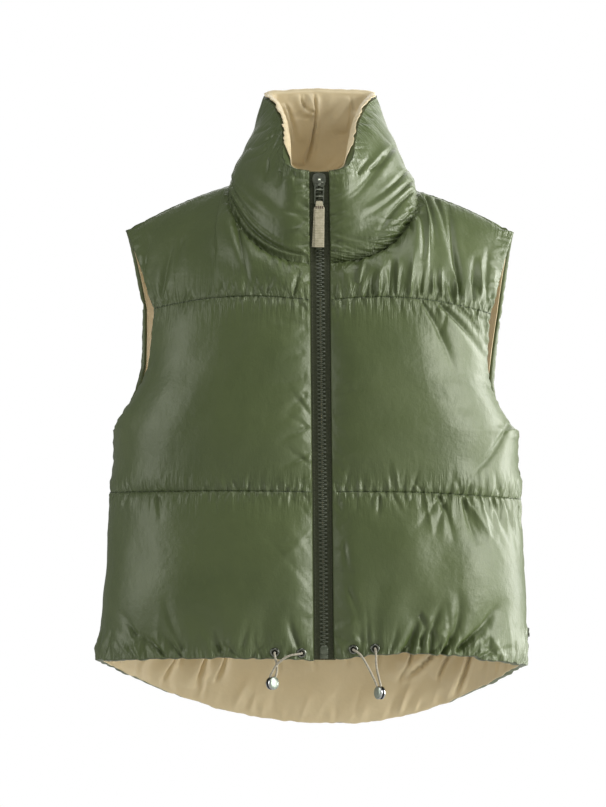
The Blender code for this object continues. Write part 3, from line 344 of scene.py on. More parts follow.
cord_dyes = (0.26, 0.24, 0.17), (0.46, 0.42, 0.33)
cord_braid = dyed("hem_cord_elastic", (0.50, 0.44, 0.34), 0.62, 0.0, *cord_dyes, 600.0)
ribbed(cord_braid, 520.0, 2.0, "DIAGONAL", 0.00012)

lock_metal = finish("lock_polished_metal", (0.42, 0.43, 0.42), 0.18, 1.0)
face_shades = (0.24, 0.28, 0.23), (0.33, 0.37, 0.31)
lock_face = dyed("lock_satin_face", (0.56, 0.60, 0.54), 0.34, 0.75, *face_shades, 240.0)
# The slot's finish is near black: painted shade in the groove round the rim, where the cord goes into
# the lock.
lock_slot_painted_shade = finish("lock_slot_painted_shade", (0.012, 0.013, 0.012), 0.6)
LOCKS = {
    # X and Z of the middle, and the turn of its face away from the front, in degrees
    "cord_lock_right": (-0.0455, -0.4890, 42.0),
    "cord_lock_left": (0.0612, -0.4985, -57.0),
}
LOCK_PROFILE = (
    # radius, height from the back face to the front face, and finish: 0 band, 1 face, 2 slot, painted
    # near black as shade
    (0.0004, -0.0032, 0),
    (0.0052, -0.0032, 0),
    (0.0059, -0.0030, 0),
    (0.0064, -0.0026, 0),
    (0.0066, -0.0020, 0),
    (0.0066, -0.0011, 0),
    (0.0064, -0.0010, 2),
    (0.0054, -0.0009, 2),
    (0.0054, 0.0009, 2),
    (0.0064, 0.0010, 2),
    (0.0066, 0.0012, 0),
    (0.0066, 0.0022, 0),
    (0.0064, 0.0028, 0),
    (0.0059, 0.0031, 0),
    (0.0056, 0.0032, 1),
    (0.0054, 0.0029, 1),
    (0.0050, 0.0032, 1),
    (0.0030, 0.0034, 1),
    (0.0004, 0.0034, 1),
)
lock_middle = {}
locks = {}
for name, (x, z, degrees) in LOCKS.items():
    low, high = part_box(name)
    lock_middle[name] = np.array([x, (low.y + high.y) / 2, z])
    swing = math.radians(degrees)
    facing = np.array([math.sin(swing), -math.cos(swing), 0.0])
    rows, around = len(LOCK_PROFILE), 48
    skin = turned([step[:2] for step in LOCK_PROFILE], around, lock_middle[name], facing)
    part = np.repeat([step[2] for step in LOCK_PROFILE[1:]], around).tolist() + [0, 1]
    faces = ring_faces(rows, around)
    made = [lock_metal, lock_face, lock_slot_painted_shade]
    locks[name] = put_mesh(name + "_spring", skin.reshape(-1, 3), faces, made, None, 40, part)
    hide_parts(name)
    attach(locks[name], "vest")

STRAND_ROUTES = {
    # X, how far it stands out in front of the eyelet's seat, and Z, down to the lock
    "hem_cord_right_a": (
        "eyelet_right_inner",
        (-0.0210, 0.0056, -0.4602),
        (-0.0262, 0.0066, -0.4611),
        (-0.0325, 0.0066, -0.4636),
        (-0.0380, 0.0060, -0.4676),
        (-0.0425, 0.0050, -0.4726),
        (-0.0455, 0.0038, -0.4780),
        (-0.0474, 0.0026, -0.4822),
    ),
    "hem_cord_right_b": (
        "eyelet_right_outer",
        (-0.0426, 0.0046, -0.4634),
        (-0.0416, 0.0032, -0.4672),
        (-0.0410, 0.0022, -0.4712),
        (-0.0410, 0.0018, -0.4765),
        (-0.0422, 0.0018, -0.4822),
    ),
    "hem_cord_left_a": (
        "eyelet_left_inner",
        (0.0388, 0.0058, -0.4580),
        (0.0422, 0.0060, -0.4610),
        (0.0454, 0.0054, -0.4656),
        (0.0492, 0.0046, -0.4722),
        (0.0530, 0.0038, -0.4796),
        (0.0564, 0.0028, -0.4868),
        (0.0582, 0.0024, -0.4915),
    ),
    "hem_cord_left_b": (
        "eyelet_left_outer",
        (0.0572, 0.0056, -0.4586),
        (0.0574, 0.0052, -0.4632),
        (0.0576, 0.0044, -0.4690),
        (0.0586, 0.0036, -0.4765),
        (0.0606, 0.0028, -0.4850),
        (0.0620, 0.0024, -0.4915),
    ),
}
seats = {name: ring_seat(name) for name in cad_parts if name.startswith("eyelet_")}


def strand(name):
    """Stations of one strand, from inside its eyelet down to the lock's edge."""
    eyelet, *route = STRAND_ROUTES[name]
    seat, facing = seats[eyelet]
    start = [seat + facing * out for out in CORD_LEAVES]
    return np.array(start + [(x, seat[1] - out, z) for x, out, z in route])


for side in ("right", "left"):
    down, back = strand(f"hem_cord_{side}_a"), strand(f"hem_cord_{side}_b")
    lock = "cord_lock_" + side
    bend = lock_middle[lock] + np.array([0.0, 0.0, -0.0012])
    path = smooth_line(np.concatenate([down, [bend], back[::-1]]), CORD_ROWS)
    hem_cord = tube("hem_cord_" + side, path, CORD_DIAMETER / 2, CORD_AROUND, cord_braid)
    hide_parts(f"hem_cord_{side}_a", f"hem_cord_{side}_b")
    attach(hem_cord, "vest")

# ---- Padded shell: the cut ----------------------------------------------------------------
# The shell is cut as two fronts, a back and a collar of thin glossy nylon over down-like
# filling, sewn at the sides, shoulders and neck, and quilted through along two lines.

SEAM_GAP = 0.0003
SEAM_WALL = 0.0042  # the padded wall, pressed flat in a seam
RIGHT, LEFT = -1, 1
SQUARENESS = 2.5

LEVEL_COLUMNS = ("centre", "right_rise", "right_end", "left_rise", "left_end")
FRONT_LEVELS = {
    "hem": (-0.4660, 0.0030, -0.4680, 0.0085, -0.4725),
    "lower_seam": (-0.2995, 0.0015, -0.3005, 0.0015, -0.3070),
    "underarm": (-0.2400, 0.0000, -0.2400, 0.0000, -0.2440),
    "chest_seam": (-0.1100, 0.0060, -0.1170, 0.0060, -0.1220),
}
BACK_LEVELS = {
    "hem": (-0.5315, 0.0010, -0.4680, -0.0040, -0.4725),
    "lower_seam": (-0.3030, 0.0000, -0.3005, 0.0000, -0.3070),
    "underarm": (-0.2380, 0.0000, -0.2400, 0.0000, -0.2440),
    "chest_seam": (-0.1020, 0.0040, -0.1170, 0.0040, -0.1220),
}
FINER_ROWS, FINER_COLUMNS = 9, 9  # fine rows and columns to one of the cut's main ones
ROWS_LOWER, ROWS_SIDE, ROWS_ARMHOLE, ROWS_YOKE, ROWS_COLLAR = (
    FINER_ROWS * count for count in (8, 4, 6, 8, 10)
)
COLUMNS_NECK_FRONT, COLUMNS_SHOULDER, COLUMNS_NECK_BACK = (
    FINER_COLUMNS * count for count in (12, 10, 20)
)
SIDE_EASE = 1.4
ROW_PACKING = 0.75
CHEST_ROW = ROWS_LOWER + ROWS_SIDE + ROWS_ARMHOLE
TOP_ROW = CHEST_ROW + ROWS_YOKE

DEPTHS = np.array(  # height, then the plain inside's depth in front of and behind the side seams
    [
        (-0.540, 0.112, 0.104),
        (-0.470, 0.115, 0.108),
        (-0.400, 0.118, 0.110),
        (-0.300, 0.117, 0.108),
        (-0.200, 0.117, 0.112),
        (-0.110, 0.113, 0.110),
        (-0.090, 0.112, 0.108),
    ]
)
# Height, X of the right and the left edge, how far the back reaches past, and Y of the front's
# and the back's edge: 0 on the side seam, and open at the armhole.
EDGES = np.array(
    [
        (-0.475, 0.2165, 0.2020, 0.000, 0.000, 0.000),
        (-0.458, 0.2155, 0.2025, 0.000, 0.000, 0.000),
        (-0.438, 0.2095, 0.2000, 0.000, 0.000, 0.000),
        (-0.410, 0.2055, 0.1985, 0.000, 0.000, 0.000),
        (-0.370, 0.2020, 0.1970, 0.000, 0.000, 0.000),
        (-0.330, 0.2020, 0.1960, 0.000, 0.000, 0.000),
        (-0.300, 0.2030, 0.1980, 0.000, 0.000, 0.000),
        (-0.270, 0.1990, 0.1940, 0.000, 0.000, 0.000),
        (-0.241, 0.1980, 0.1930, 0.000, 0.000, 0.000),
        (-0.236, 0.1965, 0.1885, 0.000, 0.019, 0.021),
        (-0.229, 0.1935, 0.1840, 0.000, 0.028, 0.031),
        (-0.218, 0.1870, 0.1765, 0.000, 0.036, 0.040),
        (-0.205, 0.1780, 0.1700, 0.003, 0.044, 0.049),
        (-0.190, 0.1700, 0.1655, 0.006, 0.050, 0.056),
        (-0.170, 0.1635, 0.1645, 0.009, 0.054, 0.061),
        (-0.140, 0.1610, 0.1665, 0.011, 0.055, 0.062),
        (-0.117, 0.1600, 0.1690, 0.012, 0.052, 0.059),
    ]
)
NECK_HALF_WIDTH = {RIGHT: 0.0860, LEFT: 0.0955}
NECK_FRONT, NECK_BACK = 0.1000, 0.0700
NECK_FRONT_ROUNDING = 0.60
NECK_SIDE_Z = {RIGHT: 0.0030, LEFT: -0.0020}
NECK_FRONT_Z, NECK_BACK_Z = -0.0730, 0.0080
YOKE_TURN = (0.5, 0.33, 0.66)
SHOULDER_TIP = {RIGHT: (-0.1890, 0.0060, -0.0420), LEFT: (0.1925, 0.0060, -0.0440)}
SHOULDER_BOW = 0.0035
RIM_FRONT_PART = (
    # X on both sides, Y and Z of the collar's top edge, from the zip to beside the neck
    (-0.0098, 0.0118, -0.0880, 0.0190),
    (-0.0200, 0.0200, -0.0885, 0.0205),
    (-0.0275, 0.0265, -0.0820, 0.0260),
    (-0.0285, 0.0310, -0.0500, 0.0470),
    (-0.0320, 0.0360, -0.0100, 0.0680),
)
RIM_BACK_PART = (
    # and on round the back corner to the nape
    (-0.0320, 0.0360, -0.0100, 0.0680),
    (-0.0385, 0.0435, 0.0300, 0.0860),
    (-0.0450, 0.0500, 0.0550, 0.0960),
    (-0.0410, 0.0460, 0.0585, 0.0985),
    (0.0000, 0.0000, 0.0600, 0.1005),
)
RIM_FRONT_Z = RIM_FRONT_PART[0][3]
COLLAR_HOLLOW, COLLAR_TURN = 0.0075, 0.6
UNDERARM_BLEND = 0.028
UNDERARM_FULLER = (0.002, -0.245, 0.030)  # by how much, at what height and how far about it
UNDERARM_EASED = (-0.225, 0.060)  # at what height rows are averaged, and how far about it
SHARED_PULL, OWN_PULL = 8, 30  # powers of the share from the centre to the edge
ZIP_HALF_WIDTH = 0.0108


def zip_lean(z):
    """X of the zip's middle: it leans evenly from the collar's top down to the hem."""
    share = (RIM_FRONT_Z - z) / (RIM_FRONT_Z - FRONT_LEVELS["hem"][0])
    return 0.0010 + 0.0050 * share


def packed(count):
    """Shares from 0 to 1: part even and part (1 - cos) / 2, closer together at both ends."""
    even = np.arange(count + 1) / count
    return ROW_PACKING * (1 - np.cos(np.pi * even)) / 2 + (1 - ROW_PACKING) * even


def lengths_across(grid):
    """Length along every row of a grid to each of its points."""
    return lengths_along(grid.transpose(1, 0, 2)).T


def points_at(at, along, line):
    """Points of a line at given lengths, straight between its own."""
    return np.stack([np.interp(at, along, line[:, k]) for k in range(3)], axis=1)


def bell(distance, reach, power=2):
    """One in the middle, fading to nothing past the reach: exp(-(d / r)^power)."""
    return np.exp(-((distance / reach) ** power))


def level_rows(levels, side):
    """Centre height, rise and end height of every row from the hem to the chest seam."""
    own = "right" if side == RIGHT else "left"
    wanted = [LEVEL_COLUMNS.index(name) for name in ("centre", own + "_rise", own + "_end")]
    hem, lower, underarm, chest = (np.array(levels[name])[wanted] for name in levels)
    side_share = (np.arange(ROWS_SIDE) / ROWS_SIDE) ** SIDE_EASE
    return np.concatenate(
        [
            hem + (lower - hem) * packed(ROWS_LOWER)[:-1, None],
            lower + (underarm - lower) * side_share[:, None],
            underarm + (chest - underarm) * packed(ROWS_ARMHOLE)[:, None],
        ]
    )


def torso_rows(face, side, count):
    """All rows of a torso panel, from the centre line out to the side seam or the armhole.

    x = w sin(a)^(2/p) and y = d cos(a)^(2/p), with p the squareness and w set so that the row
    passes through the panel's edge. Round the underarm w is averaged over the rows near it. y is
    then led back to the edge: what the rows near by need on average with x^8, the rest with
    x^30. Height runs from centre to end with x squared.
    """
    rows = level_rows(FRONT_LEVELS if face == "front" else BACK_LEVELS, side)
    centre_z, rise, side_z = (rows[:, k, None] for k in range(3))
    edge = [smooth(side_z[:, 0], EDGES[:, 0], EDGES[:, k])[:, None] for k in range(1, 6)]
    edge_x = edge[0] if side == RIGHT else edge[1]
    edge_x = edge_x + (edge[2] if face == "back" else 0.0)
    edge_y = edge[3] if face == "front" else edge[4]
    depths = DEPTHS[:, 1 if face == "front" else 2]
    edge_depth = smooth(side_z, DEPTHS[:, 0], depths)
    width = edge_x / (1 - (edge_y / edge_depth) ** SQUARENESS) ** (1 / SQUARENESS)
    near = bell(side_z - side_z.T, UNDERARM_BLEND)
    eased = near @ width / near.sum(axis=1, keepdims=True)
    more, height, about = UNDERARM_FULLER
    eased = eased + more * bell(side_z - height, about)
    height, about = UNDERARM_EASED
    width = width + (eased - width) * bell(side_z - height, about, 4)
    width = np.maximum(width, edge_x)
    inner_x = ZIP_HALF_WIDTH if face == "front" else 0.0
    first = np.arcsin((inner_x / width) ** (SQUARENESS / 2))
    last = np.arcsin(np.minimum(1.0, (edge_x / width) ** (SQUARENESS / 2)))
    a = first + (last - first) * np.linspace(0, 1, 480)
    x = width * np.sin(a) ** (2 / SQUARENESS)
    share = x / edge_x
    z = centre_z + (side_z - centre_z) * share**2 + rise * np.sin(np.pi * share)
    y = smooth(z, DEPTHS[:, 0], depths) * np.clip(np.cos(a), 0, 1) ** (2 / SQUARENESS)
    pull = edge_y - y[:, -1:]
    even_pull = near @ pull / near.sum(axis=1, keepdims=True)
    y = y + even_pull * share**SHARED_PULL + (pull - even_pull) * share**OWN_PULL
    x = side * x + zip_lean(z) * (1 - share) * (face == "front")
    y = -y if face == "front" else y
    lines = np.stack([x, y, z], axis=-1)
    along = lengths_across(lines)
    at = along[:, -1:] * np.linspace(0, 1, count + 1)
    return np.array([points_at(*row) for row in zip(at, along, lines)])


def neck(side, angle):
    """Neck seam by its turn: 0 at the zip, a quarter at the shoulder, half behind. x follows its
    sine, y and z its cosine, with a squarer front."""
    before = np.clip(np.cos(angle), 0, 1)
    behind = np.clip(-np.cos(angle), 0, 1)
    side_z = NECK_SIDE_Z[side]
    z = side_z + (NECK_FRONT_Z - side_z) * before + (NECK_BACK_Z - side_z) * behind
    x = side * (NECK_HALF_WIDTH[side] * np.sin(angle) + ZIP_HALF_WIDTH * before)
    y = NECK_BACK * behind - NECK_FRONT * before**NECK_FRONT_ROUNDING
    return np.stack([x + zip_lean(z) * before, y, z], axis=-1)


def rim(side, part, count):
    """One part of the collar's top edge: the stations' smooth curve at evenly spaced lengths."""
    own = 0 if side == RIGHT else 1
    stations = np.array([(row[own], row[2], row[3]) for row in part])
    line = smooth_line(stations, 20 * len(part))
    along = lengths_along(line)
    return points_at(np.linspace(0, along[-1], count + 1), along, line)


def shoulder(side):
    """The shoulder seam out to its tip: a straight line with a slight sine bow."""
    start = neck(side, np.array(math.pi / 2))
    share = (np.arange(1, COLUMNS_SHOULDER + 1) / COLUMNS_SHOULDER)[:, None]
    line = start + (np.array(SHOULDER_TIP[side]) - start) * share
    return line + np.array([0.0, 0.0, SHOULDER_BOW]) * np.sin(np.pi * share)


def yoke_rows(chest, top):
    """Rows over the yoke: (1-t)^2 chest + 2t(1-t) turn + t^2 top for each column."""
    turn_at = chest + (top - chest) * np.array(YOKE_TURN)
    t = packed(ROWS_YOKE)[1:, None, None]
    return chest * (1 - t) ** 2 + 2 * turn_at * t * (1 - t) + top * t**2


def front_panel(side):
    """A front: rows from the hem up, columns from the zip out."""
    rows = torso_rows("front", side, COLUMNS_NECK_FRONT + COLUMNS_SHOULDER)
    angle = np.linspace(0, math.pi / 2, COLUMNS_NECK_FRONT + 1)
    top = np.concatenate([neck(side, angle), shoulder(side)])
    return np.concatenate([rows, yoke_rows(rows[-1], top)])


def back_panel():
    """The back: rows from the hem up, columns from the right side round to the left."""
    half = COLUMNS_NECK_BACK // 2
    right, left = (torso_rows("back", side, half + COLUMNS_SHOULDER) for side in (RIGHT, LEFT))
    rows = np.concatenate([right[:, ::-1], left[:, 1:]], axis=1)
    angle = np.linspace(math.pi / 2, math.pi, half + 1)
    neck_line = [neck(RIGHT, angle), neck(LEFT, angle[::-1])[1:]]
    top = np.concatenate([shoulder(RIGHT)[::-1], *neck_line, shoulder(LEFT)])
    return np.concatenate([rows, yoke_rows(rows[-1], top)])


def collar_panel():
    """The collar: rows from the neck seam up, columns from the right front edge round the nape
    to the left one. A straight cone from seam to rim; its sides are drawn in by
    sin(pi t) (0.6 - t) below and stand out above."""
    front_turn = np.linspace(0, math.pi / 2, COLUMNS_NECK_FRONT + 1)
    back_turn = np.linspace(math.pi / 2, math.pi, COLUMNS_NECK_BACK // 2 + 1)
    angle = np.concatenate([front_turn, back_turn[1:]])
    low = np.concatenate([neck(RIGHT, angle), neck(LEFT, angle[::-1])[1:]])
    right, left = (
        np.concatenate(
            [
                rim(side, RIM_FRONT_PART, COLUMNS_NECK_FRONT),
                rim(side, RIM_BACK_PART, COLUMNS_NECK_BACK // 2)[1:],
            ]
        )
        for side in (RIGHT, LEFT)
    )
    high = np.concatenate([right, left[::-1][1:]])
    around = np.concatenate([angle, angle[::-1][1:]])
    side = np.concatenate([np.full(len(angle), RIGHT), np.full(len(angle) - 1, LEFT)])
    share = packed(ROWS_COLLAR)[:, None, None]
    outward = np.stack([side * np.sin(around), -np.cos(around), np.zeros_like(around)], axis=1)
    drawn_in = COLLAR_HOLLOW * np.sin(np.pi * share) * (COLLAR_TURN - share)
    drawn_in = drawn_in * (np.sin(around) ** 2)[:, None]
    return low + (high - low) * share - outward * drawn_in


panels = {
    "front_right": front_panel(RIGHT),
    "front_left": front_panel(LEFT),
    "back": back_panel(),
    "collar": collar_panel(),
}
coarse = {name: grid[::FINER_ROWS, ::FINER_COLUMNS] for name, grid in panels.items()}


def ragged(along, seed, shortest, longest):
    """An edge's small unevenness, about one high: a sum of sines whose lengths run from the
    shortest to the longest."""
    chance = np.random.default_rng(seed)
    lengths = np.geomspace(shortest, longest, 6)
    phases = chance.uniform(0, 2 * np.pi, 6)
    return sum(np.sin(2 * np.pi * along / n + t) for n, t in zip(lengths, phases)) / 2.4


# Stitching and the cord draw the hem up a little unevenly, but for its ends at the side seams.
HEM_UNEVEN = {"front_right": (61, 0.0006), "front_left": (67, 0.0009), "back": (71, 0.0006)}
HEM_WAVES = (0.012, 0.070)  # shortest and longest
HEM_END, HEM_FADE = 0.030, 0.012  # how far the side seams hold it even, and how far up it goes
for name, (seed, high) in HEM_UNEVEN.items():
    grid = panels[name]
    along = lengths_along(grid[0][:, None])[:, 0]
    ends = 1 - bell(along[-1] - along, HEM_END)
    if name == "back":
        ends = ends * (1 - bell(along, HEM_END))
    from_hem = lengths_along(grid)
    grid[..., 2] += high * ragged(along, seed, *HEM_WAVES) * ends * np.exp(-from_hem / HEM_FADE)


def panel_normals(grid):
    """Outward normals of a grid: the cross product of its two slopes."""
    normals = unit(np.cross(np.gradient(grid, axis=1), np.gradient(grid, axis=0)))
    middle = grid.mean(axis=(0, 1)) * np.array([0.0, 0.0, 1.0])
    return normals if ((grid - middle) * normals).sum() > 0 else -normals


def shared_normals(grids):
    """Normals of all panels, the same wherever two panels share a seam point, and softened once
    up every column."""
    normals = {name: panel_normals(grid) for name, grid in grids.items()}
    points = np.concatenate([grid.reshape(-1, 3) for grid in grids.values()])
    stacked = np.concatenate([normals[name].reshape(-1, 3) for name in grids])
    _, which = np.unique(np.round(points, 6), axis=0, return_inverse=True)
    which = which.reshape(-1)
    total = np.zeros((which.max() + 1, 3))
    np.add.at(total, which, stacked)
    stacked = unit(total)[which]
    start = 0
    for name, grid in grids.items():
        size = grid.shape[0] * grid.shape[1]
        own = stacked[start : start + size].reshape(grid.shape).copy()
        own[1:-1] = unit(own[:-2] + 2 * own[1:-1] + own[2:])
        normals[name] = own
        start += size
    return normals


def running_mean(before, line, after):
    """The mean of every value and its neighbours on both sides, as many as are given to carry
    the line on before its start and after its end."""
    window = 2 * len(before) + 1
    longer = np.cumsum(np.concatenate([before[:1] * 0, before, line, after]), axis=0)
    return (longer[window:] - longer[:-window]) / window


def finer(values, times, axis):
    """Values between the main rows or columns: straight between them, then a running mean as
    wide as one step, taken twice. Ends are carried on by turning them over, and so stay."""
    values = np.moveaxis(values, axis, 0)
    count = (len(values) - 1) * times
    place = np.arange(count + 1) / times
    low = np.minimum(place.astype(int), len(values) - 2)
    share = (place - low).reshape(-1, *[1] * (values.ndim - 1))
    line = values[low] * (1 - share) + values[low + 1] * share
    reach = times // 2
    for _ in range(2):
        before = 2 * line[:1] - line[reach:0:-1]
        after = 2 * line[-1:] - line[-2 : -2 - reach : -1]
        line = running_mean(before, line, after)
    return np.moveaxis(line, 0, axis)


coarse_normals = shared_normals(coarse)
facings = {
    name: unit(finer(finer(values, FINER_ROWS, 0), FINER_COLUMNS, 1))
    for name, values in coarse_normals.items()
}
# Where the side seam opens into the armhole the way out turns slowly, over some rows.
ARMHOLE_FOOT, ARMHOLE_NEAR = -0.238, 0.040
for name in ("front_right", "front_left", "back"):
    facing = facings[name]
    before, after = (np.repeat(end, 2 * FINER_ROWS, axis=0) for end in (facing[:1], facing[-1:]))
    mean = running_mean(before, facing, after)
    near = bell(panels[name][..., 2:] - ARMHOLE_FOOT, ARMHOLE_NEAR, 4)
    facings[name] = unit(facing * (1 - near) + mean * near)

# ---- Padded shell: filling, folds and gathers ---------------------------------------------
# The filling swells each chamber between its seams. Stitching draws the thin nylon up into
# short gathers, and the body's stance throws a few longer creases across the chambers.

BODY_CHAMBERS = (
    # first and last row, swell, and how far up the swell already is at an open edge
    (0, ROWS_LOWER, 0.0130, 0.08, 0.00),
    (ROWS_LOWER, CHEST_ROW, 0.0120, 0.00, 0.00),
    (CHEST_ROW, TOP_ROW, 0.0105, 0.00, 0.00),
)
COLLAR_CHAMBERS = ((0, ROWS_COLLAR, 0.0115, 0.00, 0.10),)
PUFF_ROUNDNESS = 0.52
EDGE_SHARE = 0.20
EDGE_REACH = 0.045
ZIP_EDGE_SHARE = 0.06  # beside the zip the padding rolls down more steeply
ZIP_EDGE_REACH = 0.017
NECK_SEAM_REACH = 0.0055
FOLD_SHARE = 0.55  # of the folds below; the creases give the rest
FULL_SWELL, CREASED_SWELL = 0.008, 0.004  # where folds and creases reach their full depth
DEEPEST = 0.0022  # of a gather, below the pressed seam's wall
BILLOW_HIGH = 0.0009
# The collar's nape: Y where it starts and over how much, how much of the front's folds it has
# and how many main columns further on.
NAPE_STARTS, NAPE_OVER, NAPE_SHARE, NAPE_MOVED = -0.010, 0.030, 0.6, 5

# Soft troughs, in millimetres: X and Z of both ends as seen from the front or from behind, depth
# and width. A negative depth is a ridge.
FOLDS = {
    "front_right": (
        (-164, -132, -140, -106, 6.0, 10.0),
        (-166, -53, -168, -88, 4.0, 9.0),
        (-144, -63, -152, -108, 4.0, 10.0),
        (-98, -60, -60, -104, 4.0, 10.0),
        (-60, -80, -45, -110, 3.0, 9.0),
        (-175, -440, -120, -462, 6.0, 13.0),
        (-110, -420, -95, -465, 5.0, 12.0),
        (-50, -415, -60, -465, 4.0, 11.0),
        (-195, -320, -160, -380, 3.0, 14.0),
        (-25, -320, -22, -430, -2.0, 12.0),
    ),
    "front_left": (
        (38, -60, 42, -106, 4.0, 9.0),
        (76, -48, 70, -106, 4.5, 9.0),
        (102, -35, 96, -104, -3.0, 9.0),
        (137, -50, 132, -108, 4.0, 10.0),
        (137, -118, 169, -176, 5.5, 10.0),
        (102, -111, 129, -183, 4.0, 11.0),
        (150, -112, 172, -150, 4.0, 9.0),
        (182, -233, 142, -288, 5.0, 12.0),
        (171, -413, 137, -453, 7.0, 13.0),
        (95, -400, 85, -458, 5.0, 12.0),
        (60, -395, 55, -452, 5.0, 11.0),
        (130, -305, 150, -350, 3.5, 11.0),
        (30, -315, 32, -420, -2.0, 12.0),
        (86, -322, 96, -395, -7.5, 22.0),
        (150, -330, 135, -400, -5.0, 22.0),
    ),
    "back": (
        (-150, -55, -140, -105, 4.0, 10.0),
        (-70, -30, -62, -95, 4.0, 10.0),
        (-20, -10, -24, -90, 3.0, 10.0),
        (45, -20, 40, -90, 4.0, 10.0),
        (95, -40, 85, -98, 3.5, 10.0),
        (150, -55, 142, -105, 4.0, 10.0),
        (-165, -130, -120, -180, 4.5, 12.0),
        (165, -130, 115, -175, 4.5, 12.0),
        (-185, -240, -130, -285, 4.0, 12.0),
        (180, -240, 120, -290, 4.0, 12.0),
        (-150, -430, -120, -490, 5.5, 13.0),
        (-70, -440, -55, -520, 5.0, 13.0),
        (10, -450, 0, -525, 4.5, 13.0),
        (80, -440, 70, -515, 5.0, 13.0),
        (150, -425, 130, -490, 5.5, 13.0),
    ),
    "collar": (
        (-86, -18, -30, -52, 5.5, 9.0),
        (-80, 10, -20, -22, 4.5, 9.0),
        (94, -10, 35, -45, 5.5, 9.0),
        (88, 20, 40, -12, 4.0, 10.0),
        (-45, 18, -52, 50, 3.0, 9.0),
        (45, 20, 56, 60, 3.0, 9.0),
    ),
}
CREASE_GAIN = {"front_right": 1.3, "front_left": 1.45, "back": 1.2, "collar": 1.0}
